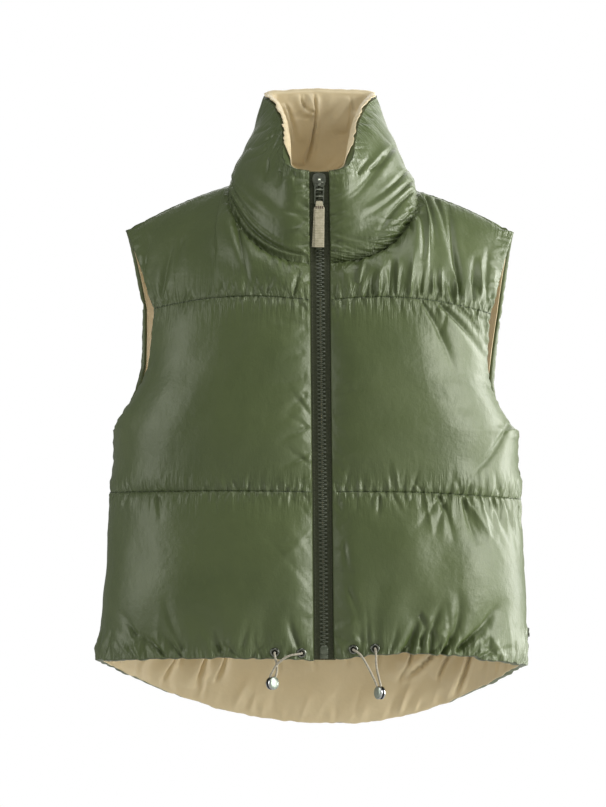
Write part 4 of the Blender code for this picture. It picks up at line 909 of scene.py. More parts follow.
# Sharper creases of the thin nylon, in millimetres too: both ends, how far each bows to its
# left, depth and width.
CREASES = {
    "front_left": (
        (99, -108, 130, -183, 4, 2.2, 3.0),
        (119, -114, 166, -174, 3, 4.0, 3.4),
        (137, -116, 169, -164, 2, 3.0, 3.0),
        (152, -119, 171, -153, 1, 2.4, 2.6),
        (164, -120, 172, -148, 1, 1.8, 2.4),
        (95, -23, 96, -86, 1, 4.2, 3.0),
        (138.5, -107, 125, -14, 2, 4.4, 3.6),
        (104, -12, 112, -64, 1, 2.2, 3.4),
        (114, -10, 126, -70, 1, 2.2, 3.4),
        (40, -94, 48, -66, 1, -2.8, 2.2),
        (59, -106, 61, -78, 1, -2.8, 2.2),
        (53, -106, 54, -84, 1, 2.2, 2.2),
        (77, -105, 78, -68, 1, -2.8, 2.4),
        (70, -105, 71, -74, 1, 2.6, 2.4),
        (89, -105, 90, -62, 1, -2.4, 2.4),
        (100, -105, 98, -76, 1, 3.0, 2.4),
        (110, -106, 109, -84, 0, -2.6, 2.0),
        (120, -107, 118, -80, 1, -2.4, 2.0),
        (133, -108, 132, -78, 0, -3.0, 2.2),
        (151, -110, 151, -68, 1, 3.4, 2.6),
        (157, -111, 157, -70, 1, -3.0, 2.4),
        (164, -112, 165, -60, 1, 2.8, 2.6),
        (171, -114, 172, -78, 1, -2.4, 2.4),
        (117, -303, 128, -353, 3, 2.2, 3.0),
        (142, -303, 150, -353, -2, 2.6, 3.0),
        (170, -305, 180, -348, -2, 2.2, 2.8),
        (60, -303, 57, -328, 1, 1.8, 2.6),
        (182, -233, 142, -288, 4, 2.6, 3.6),
        (75, -466, 98, -417, -5, 5.4, 4.0),
        (85, -463, 94, -436, -3, 3.6, 3.0),
        (98, -420, 105, -440, 1, 2.2, 2.6),
        (100, -452, 112, -428, 3, 2.6, 2.8),
        (110, -462, 120, -405, 4, 4.0, 3.4),
        (120, -462, 132, -396, -7, 5.6, 4.2),
        (122, -460, 128, -440, 1, 2.2, 2.6),
        (135, -456, 170, -412, -3, 6.0, 4.0),
        (150, -466, 186, -455, 2, 2.4, 3.2),
        (29, -395, 40, -430, 2, 1.4, 3.4),
        (26, -350, 34, -385, -2, 1.2, 3.2),
    ),
    "front_right": (
        (-164, -132, -148, -108, 2, 4.2, 3.6),
        (-172, -120, -160, -108, 1, 2.0, 2.6),
        (-81, -36, -66, -104, 2, 3.4, 3.2),
        (-153, -114, -137, -52, 2, 4.0, 3.4),
        (-170, -82, -163, -48, 1, 3.2, 3.0),
        (-50, -104, -42, -88, 1, 2.0, 2.4),
        (-24, -106, -16, -78, 1, 3.0, 2.6),
        (-128, -52, -136, -108, -3, 1.6, 4.8),
        (-11, -135, -43, -130, -1, 1.6, 3.0),
        (-11, -203, -33, -223, -2, 2.2, 3.2),
        (-11, -158, -36, -170, -1, 1.4, 2.8),
        (-11, -236, -40, -252, -2, 1.8, 3.0),
        (-11, -183, -34, -192, 1, 1.4, 2.6),
        (-11, -264, -38, -276, -1, 1.6, 2.8),
        (-175, -443, -188, -418, -1, 2.6, 3.4),
        (-150, -462, -176, -440, -2, 4.2, 3.6),
        (-134, -463, -153, -435, -1, 2.6, 3.0),
        (-131, -456, -146, -403, 2, 2.4, 4.0),
        (-96, -458, -102, -433, -1, 2.6, 3.2),
        (-74, -452, -66, -420, -1, 1.4, 3.6),
        (-15, -462, -28, -418, 3, 2.6, 3.4),
        (-58, -455, -46, -440, -1, 1.4, 3.0),
        (-155, -305, -150, -330, 1, 1.4, 3.2),
    ),
    "collar": (
        (67, 42, 22, -16, 4, 3.6, 3.4),
        (57, 30, 19, -10, 3, 3.0, 2.8),
        (84, 2, 37, -30, 3, 3.6, 3.2),
        (80, 14, 40, -18, 3, 2.8, 2.8),
        (89, -6, 55, -50, -4, 4.0, 2.8),
        (92, -22, 60, -44, 2, 2.8, 2.6),
        (33, 14, 45, 28, 1, 3.2, 2.2),
        (44, 16, 58, 22, 1, 2.8, 2.2),
        (52, 84, 70, 50, 2, 2.0, 2.8),
        (-84, -6, -16, -62, -13, 4.0, 2.8),
        (-14, -64, -80, -14, 12, 4.0, 2.8),
        (-80, 2, -30, -52, -8, 2.8, 2.6),
        (-84, 12, -40, -30, -4, 2.4, 3.2),
        (-41, 26, -44, 4, 1, 3.2, 2.2),
        (-30, 18, -34, 0, 1, 2.6, 2.0),
        (-22, 18, -22, 2, 1, 2.2, 2.0),
        (-40, 72, -58, 64, 1, 1.8, 2.0),
        (-40, 58, -60, 48, 1, 1.8, 2.0),
        (-41, 46, -62, 34, 1, 1.8, 2.0),
        (-42, 36, -64, 22, 1, 1.6, 2.0),
    ),
    "back": (
        (-150, -106, -172, -160, 4, 3.4, 3.4),
        (-120, -104, -138, -165, 3, 2.6, 3.2),
        (140, -106, 168, -165, -3, 3.4, 3.4),
        (112, -104, 130, -170, -3, 2.4, 3.2),
        (-90, -20, -100, -98, 4, 2.8, 4.0),
        (-45, 0, -38, -96, -3, 2.2, 4.0),
        (30, 0, 22, -96, 3, 2.4, 4.0),
        (110, -25, 104, -100, -3, 2.8, 4.0),
        (60, -106, 74, -150, 2, 1.8, 3.0),
        (-190, -235, -140, -290, 4, 2.8, 3.6),
        (186, -238, 130, -292, -4, 2.8, 3.6),
        (-160, -306, -178, -350, 2, 2.4, 3.0),
        (-60, -306, -70, -352, 2, 2.0, 3.0),
        (85, -306, 100, -356, 2, 2.2, 3.0),
        (160, -308, 176, -350, 2, 2.4, 3.0),
        (-160, -488, -182, -430, 3, 4.2, 3.8),
        (-110, -505, -120, -450, 4, 3.2, 3.6),
        (-40, -522, -30, -465, 3, 3.0, 3.6),
        (35, -520, 48, -470, 3, 2.8, 3.4),
        (105, -505, 122, -450, -4, 3.6, 3.6),
        (160, -485, 184, -430, -3, 4.2, 3.8),
    ),
}


def line_places(points, row):
    """Share along a line and signed distance from it, in X and Z, of every point."""
    start = row[0:2]
    run = row[2:4] - start
    flat = points[..., [0, 2]] - start
    share = flat @ run / (run @ run)
    length = np.linalg.norm(run)
    beside = (flat[..., 1] * run[0] - flat[..., 0] * run[1]) / length
    past = np.maximum(np.abs(share - 0.5) - 0.5, 0) * length
    return share, beside, past


def fold_depth(points, folds):
    """Soft folds: depth exp(-(d/w)^2) across each line, faded with a cosine along it."""
    depth = np.zeros(points.shape[:2])
    for row in np.array(folds) / 1000:
        share, beside, past = line_places(points, row)
        fade = np.cos(np.clip(share - 0.5, -0.75, 0.75) * np.pi * 2 / 3)
        depth += row[4] * np.exp(-(beside**2 + past**2) / row[5] ** 2) * fade
    return depth


def creased_lines(points, rows, narrow, widening, fading):
    """For every row: the distance from its bowed line over its width, its depth, its fade and
    how near its length is. The line bows as 4 s (1 - s), s being the share along it, and the
    crease is deep at its first end, then widens and fades out towards its second."""
    for row in np.array(rows) / 1000:
        share, beside, past = line_places(points, row)
        bow, deep, wide = row[4:]
        inside = np.clip(share, 0, 1)
        off = beside - bow * 4 * inside * (1 - inside)
        fade = np.clip(share * 9 + 0.6, 0, 1) * (1 - inside) ** fading
        yield off / (wide * (narrow + widening * inside)), deep, fade, bell(past, wide)


def crease_depth(points, creases):
    """Creases: a sharp valley exp(-sqrt(v^2 + 0.12)), v being the distance over the width,
    between two soft shoulders 0.80 exp(-(v/2.6)^2)."""
    depth = np.zeros(points.shape[:2])
    for v, deep, fade, near in creased_lines(points, creases, 0.55, 0.9, 0.75):
        valley = 2.5 * np.exp(-np.sqrt(v**2 + 0.12)) - 0.80 * bell(v, 2.6)
        depth += deep * valley * fade * near
    return depth


# How far one gather differs from the next, as shares of its own measure.
UNEVEN = {"place": (0.05, 0.95), "deep": (0.35, 1.3), "wide": (0.7, 1.4), "reach": (0.45, 1.6)}
GATHER_END = 2.2  # reaches from the seam, where nothing of it is left
BILLOW_LENGTHS = (0.028, 0.11)


def gathers(along, away, seed, spacing, reach, deep, wide, lean=0.3, span=None):
    """Puckers drawn up by a seam: narrow valleys and ridges by turns, exp(-|d|^1.5) across each,
    that leave the seam at their own lean. A pucker's depth follows (0.7 + 1.7 q) exp(-2.3 q^2),
    q being the distance from the seam over its reach."""
    chance = np.random.default_rng(seed)
    first, last = span or (along.min(), along.max())
    count = max(1, int((last - first) / spacing))
    place = first + (np.arange(count) + chance.uniform(*UNEVEN["place"], count)) * spacing
    sign = np.where(np.arange(count) % 2 == 0, 1.0, -0.8)
    deep = deep * sign * chance.uniform(*UNEVEN["deep"], count)
    wide = wide * chance.uniform(*UNEVEN["wide"], count)
    reach = reach * chance.uniform(*UNEVEN["reach"], count) ** 1.3
    lean = lean * chance.normal(0.0, 1.0, count)
    depth = np.zeros(along.shape)
    for k in range(count):
        near = away < GATHER_END * reach[k]
        rows, columns = (np.where(near.any(axis=axis))[0] for axis in (1, 0))
        part = np.s_[rows[0] : rows[-1] + 1, columns[0] : columns[-1] + 1]
        q = away[part] / reach[k]
        across = (along[part] - place[k] - lean[k] * away[part]) / (wide[k] * (1 + 0.8 * q))
        envelope = (0.7 + 1.7 * q) * np.exp(-2.3 * q**2)
        depth[part] += deep[k] * envelope * np.exp(-np.abs(across) ** 1.5)
    return depth


def billow(across, up, seed, high):
    """Slow unevenness of the filling: a sum of sines of many lengths and directions."""
    chance = np.random.default_rng(seed)
    total = np.zeros(across.shape)
    for _ in range(12):
        length = chance.uniform(*BILLOW_LENGTHS)
        angle = chance.uniform(0, np.pi)
        phase = chance.uniform(0, 2 * np.pi)
        wave = (across * np.cos(angle) + up * np.sin(angle)) * 2 * np.pi / length + phase
        total += np.sin(wave) * length / BILLOW_LENGTHS[1]
    return high * total / 3.0


def risen(distance, share, reach):
    """How full the filling is away from an edge: share + (1 - share) (1 - exp(-d / reach))."""
    return share + (1 - share) * (1 - np.exp(-distance / reach))


def outer_points(name, grid, facing):
    """The wall's outside: inside + facing (seam wall + swell - folds - creases - gathers)."""
    up = lengths_along(grid)
    across = lengths_across(grid)
    swell = np.zeros(grid.shape[:2])
    chambers = COLLAR_CHAMBERS if name == "collar" else BODY_CHAMBERS
    for first, last, puff, low, high in chambers:
        rows = slice(first, last + 1)
        share = (up[rows] - up[first]) / (up[last] - up[first])
        swing = np.pi * (low + (1 - low - high) * share)
        swell[rows] = np.maximum(swell[rows], puff * np.sin(swing) ** PUFF_ROUNDNESS)
    from_edge = np.minimum(across, across[:, -1:] - across)
    swell *= risen(from_edge, EDGE_SHARE, EDGE_REACH)
    if name.startswith("front"):
        swell *= risen(across, ZIP_EDGE_SHARE, ZIP_EDGE_REACH)
        swell /= risen(across, EDGE_SHARE, EDGE_REACH)
    from_neck = up if name == "collar" else up[-1] - up
    swell *= 1 - bell(from_neck, NECK_SEAM_REACH)
    full = np.clip(swell / FULL_SWELL, 0, 1)
    fold = FOLD_SHARE * fold_depth(grid, FOLDS[name])
    crease = CREASE_GAIN[name] * crease_depth(grid, CREASES[name])
    if name == "collar":
        # Behind, it repeats its front folds more faintly and further on, and has no creases.
        behind = np.clip((grid[..., 1] - NAPE_STARTS) / NAPE_OVER, 0, 1)
        moved = np.roll(fold, NAPE_MOVED * FINER_COLUMNS, axis=1)
        fold = fold * (1 - behind) + NAPE_SHARE * moved * behind
        crease = crease * (1 - behind)
    swell = swell + billow(across, up, SEEDS[name], BILLOW_HIGH) * full
    swell = np.maximum(swell - fold * full, 0.0)
    swell = swell - crease * np.clip(swell / CREASED_SWELL, 0, 1)
    for seam in GATHERS[name]:
        swell = swell - seam_gathers(name, seam, across, up)
    thick = SEAM_WALL + np.maximum(swell, -DEEPEST)
    return grid + facing * thick[..., None]


SEEDS = {"front_right": 11, "front_left": 23, "back": 37, "collar": 53}
# Gathers of each panel: which seam and which side of it, where along it from and to as shares,
# spacing, reach, depth and width in millimetres, and lean.
GATHERS = {
    "front_right": (
        ("chest", "below", 0.00, 0.30, 4.0, 11.0, 1.0, 1.3, 0.3),
        ("chest", "below", 0.30, 1.00, 5.2, 12.0, 1.2, 1.6, 0.4),
        ("chest", "above", 0.00, 1.00, 4.4, 11.0, 1.3, 1.5, 0.3),
        ("lower", "above", 0.00, 0.25, 3.8, 11.0, 1.4, 1.3, 0.3),
        ("lower", "above", 0.25, 1.00, 4.8, 10.0, 1.3, 1.5, 0.3),
        ("lower", "below", 0.00, 0.25, 3.8, 11.0, 1.4, 1.3, 0.3),
        ("lower", "below", 0.25, 1.00, 5.0, 12.0, 1.3, 1.6, 0.3),
        ("hem", "above", 0.00, 1.00, 5.8, 22.0, 1.8, 2.0, 0.5),
        ("start", "in", 0.00, 1.00, 8.5, 24.0, 1.2, 2.4, 0.7),
        ("end", "in", 0.00, 1.00, 7.0, 14.0, 1.0, 1.8, 0.3),
        ("top", "below", 0.00, 0.52, 4.8, 15.0, 1.6, 1.6, 0.3),
        ("top", "below", 0.52, 1.00, 7.0, 10.0, 0.5, 1.8, 0.3),
    ),
    "front_left": (
        ("chest", "below", 0.00, 0.35, 4.6, 13.0, 1.3, 1.5, 0.3),
        ("chest", "below", 0.35, 1.00, 4.6, 23.0, 1.8, 1.7, 0.5),
        ("chest", "above", 0.00, 0.40, 5.0, 20.0, 1.8, 1.7, 0.2),
        ("chest", "above", 0.40, 1.00, 4.0, 15.0, 1.8, 1.4, 0.3),
        ("lower", "above", 0.00, 1.00, 4.8, 15.0, 1.7, 1.6, 0.3),
        ("lower", "below", 0.00, 0.30, 4.8, 14.0, 1.5, 1.6, 0.3),
        ("lower", "below", 0.30, 1.00, 4.8, 26.0, 1.9, 1.9, 0.4),
        ("hem", "above", 0.00, 1.00, 5.2, 26.0, 2.1, 2.1, 0.6),
        ("start", "in", 0.00, 1.00, 8.5, 18.0, 1.1, 2.2, 0.6),
        ("end", "in", 0.00, 1.00, 5.8, 15.0, 1.2, 1.8, 0.3),
        ("top", "below", 0.00, 0.52, 4.8, 18.0, 1.8, 1.6, 0.3),
        ("top", "below", 0.52, 1.00, 7.0, 10.0, 0.5, 1.8, 0.3),
    ),
    "back": (
        ("chest", "below", 0.00, 1.00, 4.8, 18.0, 1.6, 1.7, 0.4),
        ("chest", "above", 0.00, 1.00, 4.8, 16.0, 1.6, 1.6, 0.3),
        ("lower", "above", 0.00, 1.00, 5.0, 15.0, 1.5, 1.6, 0.3),
        ("lower", "below", 0.00, 1.00, 5.0, 20.0, 1.6, 1.8, 0.4),
        ("hem", "above", 0.00, 1.00, 5.6, 24.0, 1.8, 2.1, 0.5),
        ("start", "in", 0.00, 1.00, 6.5, 14.0, 1.1, 1.8, 0.3),
        ("end", "in", 0.00, 1.00, 6.5, 14.0, 1.1, 1.8, 0.3),
        ("top", "below", 0.00, 0.27, 7.0, 10.0, 0.5, 1.8, 0.3),
        ("top", "below", 0.27, 0.73, 5.0, 15.0, 1.5, 1.7, 0.3),
        ("top", "below", 0.73, 1.00, 7.0, 10.0, 0.5, 1.8, 0.3),
    ),
    "collar": (
        ("hem", "above", 0.00, 0.20, 5.6, 10.0, 0.7, 1.7, 0.3),
        ("hem", "above", 0.20, 0.80, 5.2, 16.0, 1.0, 1.8, 0.5),
        ("hem", "above", 0.80, 1.00, 4.6, 21.0, 2.2, 1.6, 0.5),
        ("top", "below", 0.00, 0.20, 4.4, 15.0, 1.8, 1.5, 0.5),
        ("top", "below", 0.20, 0.80, 5.0, 12.0, 0.8, 1.6, 0.5),
        ("top", "below", 0.80, 1.00, 4.4, 17.0, 1.8, 1.5, 0.5),
        ("start", "in", 0.00, 1.00, 4.6, 15.0, 1.9, 1.5, 0.4),
        ("end", "in", 0.00, 1.00, 4.6, 16.0, 1.8, 1.5, 0.4),
    ),
}
SEAM_ROWS = {"hem": 0, "lower": ROWS_LOWER, "chest": CHEST_ROW, "top": -1}


def seam_gathers(name, seam, across, up):
    """One stretch of gathers of a panel, as a depth at every point."""
    which, side, first, last, *sizes, lean = seam
    seed = SEEDS[name] * 101 + GATHERS[name].index(seam)
    if which in SEAM_ROWS:
        row = SEAM_ROWS[which]
        away = (up - up[row]) if side == "above" else (up[row] - up)
        away = np.where(away < -1e-9, 9.0, away)
        along = across - across[:, :1]
    else:
        away = across if which == "start" else across[:, -1:] - across
        along = up
    reach = along.max()
    span = (first * reach, last * reach)
    return gathers(along, away, seed, *np.array(sizes) / 1000, lean, span)


def border(rows, columns, start=0):
    """Indices of a grid's border points, once round."""
    index = np.arange(rows * columns).reshape(rows, columns) + start
    return np.concatenate([index[0, :-1], index[:-1, -1], index[-1, :0:-1], index[:0:-1, 0]])


def away_from(grid):
    """At every border point, the way out of the panel in its own surface."""
    away = np.zeros(grid.shape)
    away[:, 0] += unit(grid[:, 0] - grid[:, 1])
    away[:, -1] += unit(grid[:, -1] - grid[:, -2])
    away[0] += unit(grid[0] - grid[1])
    away[-1] += unit(grid[-1] - grid[-2])
    return away


def wall(name, outside, inside, bulge, finishes, steps=(3, 6)):
    """A closed wall: a fine grid outside, a border that rounds over as half an ellipse, and
    inside only every few rows and columns, as steps says. bulge is how far the border stands
    out at every point of the grid."""
    rows, columns = outside.shape[:2]
    low = inside[:: steps[0], :: steps[1]]
    low_rows, low_columns = low.shape[:2]
    ring = border(rows, columns)
    over, under = outside.reshape(-1, 3)[ring], inside.reshape(-1, 3)[ring]
    out = (away_from(inside) * bulge[..., None]).reshape(-1, 3)[ring]
    swing = (np.pi * np.array([0.17, 0.38, 0.62, 0.83]))[:, None, None]
    rounds = (over + under) / 2 + np.cos(swing) * (over - under) / 2 + np.sin(swing) * out
    count = len(ring)
    first_round = rows * columns
    first_low = first_round + 4 * count
    points = np.concatenate([outside.reshape(-1, 3), rounds.reshape(-1, 3), low.reshape(-1, 3)])
    faces = [grid_quads(rows, columns)]
    chain = [ring] + [first_round + k * count + np.arange(count) for k in range(4)]
    for near, far in zip(chain[:-1], chain[1:]):
        faces.append(np.stack([np.roll(near, -1), near, far, np.roll(far, -1)], axis=-1))
    low_ring = border(low_rows, low_columns, first_low)
    quarter = [
        np.rint(np.arange(length - 1) / step).astype(int)
        for length, step in ((columns, steps[1]), (rows, steps[0])) * 2
    ]
    starts = np.cumsum([0, low_columns - 1, low_rows - 1, low_columns - 1])
    match = np.concatenate([start + part for start, part in zip(starts, quarter)]) % len(low_ring)
    next_match = np.roll(match, -1)
    last = chain[-1]
    fans = np.stack([np.roll(last, -1), last, low_ring[match]], axis=-1)
    moved = match != next_match
    steps_over = np.stack([np.roll(last, -1), low_ring[match], low_ring[next_match]], axis=-1)
    inner = grid_quads(low_rows, low_columns, start=first_low)[:, ::-1]
    across = lengths_across(inside).mean(axis=0)
    up = lengths_along(inside).mean(axis=1)
    cut = np.stack(np.meshgrid(across, up), axis=-1)
    ring_cut = cut.reshape(-1, 2)[ring]
    low_cut = cut[:: steps[0], :: steps[1]].reshape(-1, 2)
    uv = np.concatenate([cut.reshape(-1, 2), *[ring_cut] * 4, low_cut])
    every = [row for block in (*faces, fans, steps_over[moved], inner) for row in block.tolist()]
    return put_mesh(name, points, every, finishes, uv)


def shell_nylon(name):
    """Glossy nylon: unevenly dyed, with a fine woven grain, slight scuffs in its gloss and small
    wrinkles that are strongest near a seam."""
    dyes = (0.058, 0.080, 0.023), (0.073, 0.097, 0.030)
    made = dyed(name, (0.085, 0.125, 0.042), 0.44, 0.0, *dyes, 14.0)
    shader = made.node_tree.nodes["Principled BSDF"]
    shader.inputs["Coat Weight"].default_value = 0.10
    shader.inputs["Coat Roughness"].default_value = 0.40
    shader.inputs["Specular IOR Level"].default_value = 0.62
    shader.inputs["Specular Tint"].default_value = (0.98, 1.0, 0.88, 1.0)
    shader.inputs["Coat Tint"].default_value = (0.98, 1.0, 0.90, 1.0)
    scuffs = node(made, "ShaderNodeMapRange", To_Min=0.38, To_Max=0.50)
    link(made, noise(made, 38.0, 3.0), "Fac", scuffs, "Value")
    link(made, scuffs, "Result", shader, "Roughness")
    grain = relief(made, noise(made, 1500.0, 2.0), "Fac", 0.00008)
    crumple = relief(made, noise(made, 75.0, 4.0, 0.6), "Fac", 0.0009, grain)
    where = node(made, "ShaderNodeTexCoord")
    stretch = node(made, "ShaderNodeMapping", Scale=(240.0, 40.0, 1.0))
    ripple = node(made, "ShaderNodeTexNoise", Scale=1.0, Detail=3.0)
    close = node(made, "ShaderNodeAttribute")
    close.attribute_name = "gathered"
    times = node(made, "ShaderNodeMath")
    times.operation = "MULTIPLY"
    link(made, where, "UV", stretch, "Vector")
    link(made, stretch, "Vector", ripple, "Vector")
    link(made, ripple, "Fac", times, 0)
    link(made, close, "Fac", times, 1)
    relief(made, times, "Value", 0.0040, crumple)
    return made


nylon = shell_nylon("shell_nylon")


SEAM_BULGE, BACK_HEM_BULGE, EDGE_BULGE, ARMHOLE_BULGE = 0.0002, 0.0004, 0.0010, 0.0018


def edge_bulge(name, grid):
    """How far each border point rounds out: full at an open edge, nearly none in a seam."""
    bulge = np.full(grid.shape[:2], SEAM_BULGE)
    if name == "collar":
        bulge[-1] = EDGE_BULGE
        bulge[:, [0, -1]] = EDGE_BULGE
        return bulge
    bulge[0] = BACK_HEM_BULGE if name == "back" else EDGE_BULGE
    open_rows = np.arange(len(grid)) > ROWS_LOWER + ROWS_SIDE
    sides = [0, -1] if name == "back" else [-1]
    bulge[np.ix_(open_rows, sides)] = ARMHOLE_BULGE
    if name != "back":
        bulge[:, 0] = EDGE_BULGE
    return bulge


PRESSED_IN = {
    "front_right": ("eyelet_right_outer", "eyelet_right_inner"),
    "front_left": ("eyelet_left_inner", "eyelet_left_outer", "eyelet_left_side"),
}
PRESSED_REACH = 0.0075  # from an eyelet's middle
UNDER_RING = 0.0001  # of the cloth, below the ring's seat
WRINKLE_REACH = 0.012  # of the small wrinkles, from a seam


def flattened(outside, names):
    """The cloth is pressed flat under each eyelet, to the plane that the ring sits on."""
    for name in names:
        seat, facing = seats[name]
        over = (seat - outside) @ facing
        beside = np.linalg.norm(outside - seat + over[..., None] * facing, axis=-1)
        weight = bell(beside, PRESSED_REACH, 4) * (np.abs(over) < 0.02)
        outside = outside + facing * (weight * (over - UNDER_RING))[..., None]
    return outside


outsides = {}
for name, grid in panels.items():
    outside = flattened(outer_points(name, grid, facings[name]), PRESSED_IN.get(name, ()))
    outsides[name] = outside
    piece = wall(name + "_quilted", outside, grid, edge_bulge(name, grid), [nylon])
    up = lengths_along(grid)
    rows = [0, ROWS_COLLAR] if name == "collar" else [0, ROWS_LOWER, CHEST_ROW, TOP_ROW]
    nearest = np.min([np.abs(up - up[row]) for row in rows], axis=0)
    closeness = np.zeros(len(piece.data.vertices), dtype=np.float32)
    closeness[: nearest.size] = np.exp(-nearest / WRINKLE_REACH).ravel()
    gathered = piece.data.attributes.new("gathered", "FLOAT", "POINT")
    gathered.data.foreach_set("value", closeness)
    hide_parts(name)
    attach(piece, "vest")

# ---- Lining -------------------------------------------------------------------------------
# Pale satin, cut as the shell is and sewn to it at the zip, the neck, the armholes and the hem.
# It hangs free between its seams, so it falls into soft pleats.

LINING_WALL = 0.0008
LINING_ROOM = 0.0005  # between it and the shell's inside
# Of the cut's fine rows and columns, how many to one of the lining's, and of those how many to one
# of the lining's hidden side.
LINING_STEPS = {
    "front_right": (3, 2, 2, 3),
    "front_left": (3, 2, 2, 3),
    "back": (1, 1, 6, 6),
    "collar": (1, 1, 2, 2),
}
PLEAT_GAIN = 1.4
PLEAT_LEAN = 0.5  # how far a pleat falls over to its left side, for its height
ROLL_RISE = 0.0022  # of the collar's lining over the rim
ROLL_STARTS, ROLL_OVER = -0.084, 0.030  # Y where it starts to roll further, and over how much
ROLL_FRONT, ROLL_MORE = 0.10, 0.66  # shares of half a turn, in front and more behind
HEM_DROP, DROP_FADE = 0.0012, 0.004  # of the back's lining below the shell
SEAM_HOLD = 0.010  # how far from its seams the lining starts to hang free
LINING_SLACK, LINING_BILLOW = 0.0015, 0.0012
LINING_GATHERS = (
    # seed, then spacing, reach, depth and width in millimetres, at the lower and the upper edge
    (600, 8.5, 22.0, 2.2, 2.6),
    (700, 8.5, 20.0, 2.0, 2.6),
)
PLEATS = {
    # in millimetres: X and Z of both ends, bow, the roll's height and its width
    "back": (
        (92, -456, 76, -490, 2, 6.0, 3.6),
        (117, -457, 85, -482, 2, 9.5, 4.0),
        (152, -460, 132, -508, 1, 11.5, 4.2),
        (134, -458, 118, -488, -2, 7.0, 3.2),
        (170, -455, 162, -478, 1, 2.6, 3.6),
        (60, -450, 52, -480, 2, 2.4, 3.6),
        (22, -452, 26, -476, 1, 2.0, 3.4),
        (-12, -455, -6, -480, 1, 1.6, 3.4),
        (-48, -450, -44, -485, 2, 2.4, 3.6),
        (-98, -458, -109, -490, 2, 6.0, 3.8),
        (-119, -460, -127, -498, -2, 8.0, 4.2),
        (-140, -452, -146, -476, 1, 2.6, 3.4),
        (-150, -462, -162, -488, 1, 6.0, 3.6),
        (-172, -455, -184, -470, 1, 2.4, 3.0),
        (-120, -300, -100, -400, 6, 3.0, 7.0),
        (60, -310, 75, -410, 6, 3.0, 7.0),
    ),
    "collar": (
        (-6, 100, -17, 28, 2, 8.0, 3.4),
        (-19, 99, -9, 78, -4, 5.0, 2.6),
        (-12, 99, -14, 74, 1, -4.0, 3.0),
        (-36, 88, -30, 50, 2, 3.0, 4.0),
        (30, 96, 26, 60, 2, 2.6, 4.0),
        (42, 80, 40, 48, 1, 2.4, 3.6),
        (-44, 70, -40, 36, 1, 2.2, 3.6),
    ),
    "front_right": ((-60, -300, -80, -400, 4, 3.0, 7.0),),
    "front_left": ((70, -300, 90, -400, 4, 3.0, 7.0),),
}


def pleat_height(points, pleats):
    """Pleats of cloth that hangs free: a soft roll exp(-(v/2.4)^2) with a narrow deep tuck
    exp(-((v - 1)/0.5)^2) on its left, v being the distance over the width. They bow, widen
    and fade as the shell's creases do."""
    height = np.zeros(points.shape[:2])
    for v, high, fade, near in creased_lines(points, pleats, 0.7, 0.6, 0.5):
        roll = bell(v, 2.4) - 1.3 * bell(v - 1.0, 0.5)
        height += high * roll * fade * near
    return height


def lining_satin(name):
    """Satin: a smooth sheen over a fine grain and soft wrinkles."""
    dyes = (0.63, 0.525, 0.32), (0.70, 0.59, 0.37)
    made = dyed(name, (0.67, 0.56, 0.34), 0.44, 0.0, *dyes, 9.0)
    shader = made.node_tree.nodes["Principled BSDF"]
    shader.inputs["Sheen Weight"].default_value = 0.05
    shader.inputs["Specular IOR Level"].default_value = 0.42
    weave = relief(made, noise(made, 1300.0, 2.0), "Fac", 0.00005)
    relief(made, noise(made, 48.0, 3.0), "Fac", 0.0010, weave)
    return made


satin = lining_satin("lining_satin")


def rolled_over(fine, shell_rim, wall_thick):
    """Eight more rows of the collar's lining, which roll out over the rim: middle - out a cos(s)
    + up b sin(s), with s from 0 to three quarters of half a turn at the back and the sides, and
    to a tenth of it in front of the neck, where the shell's own edge shows."""
    top = fine[-1]
    thick = np.linalg.norm(shell_rim - top, axis=1)
    middle = (shell_rim + top) / 2
    out = unit(shell_rim - top)
    upward = unit(fine[-1] - fine[-4])
    from_front = np.clip((top[:, 1] - ROLL_STARTS) / ROLL_OVER, 0, 1)
    along = lengths_along(top[:, None])[:, 0]
    amount = ROLL_FRONT + ROLL_MORE * from_front * from_front * (3 - 2 * from_front)
    amount = amount * (1 + 0.07 * ragged(along, 83, 0.012, 0.06))
    s = (np.pi * amount * np.linspace(0, 1, 9)[1:, None])[..., None]
    a = (thick / 2 + LINING_ROOM + wall_thick)[None, :, None]
    rise = ROLL_RISE * (1 + 0.12 * ragged(along, 89, 0.012, 0.05))
    b = (EDGE_BULGE + wall_thick + rise)[None, :, None]
    return middle - out * a * np.cos(s) + upward * b * np.sin(s)


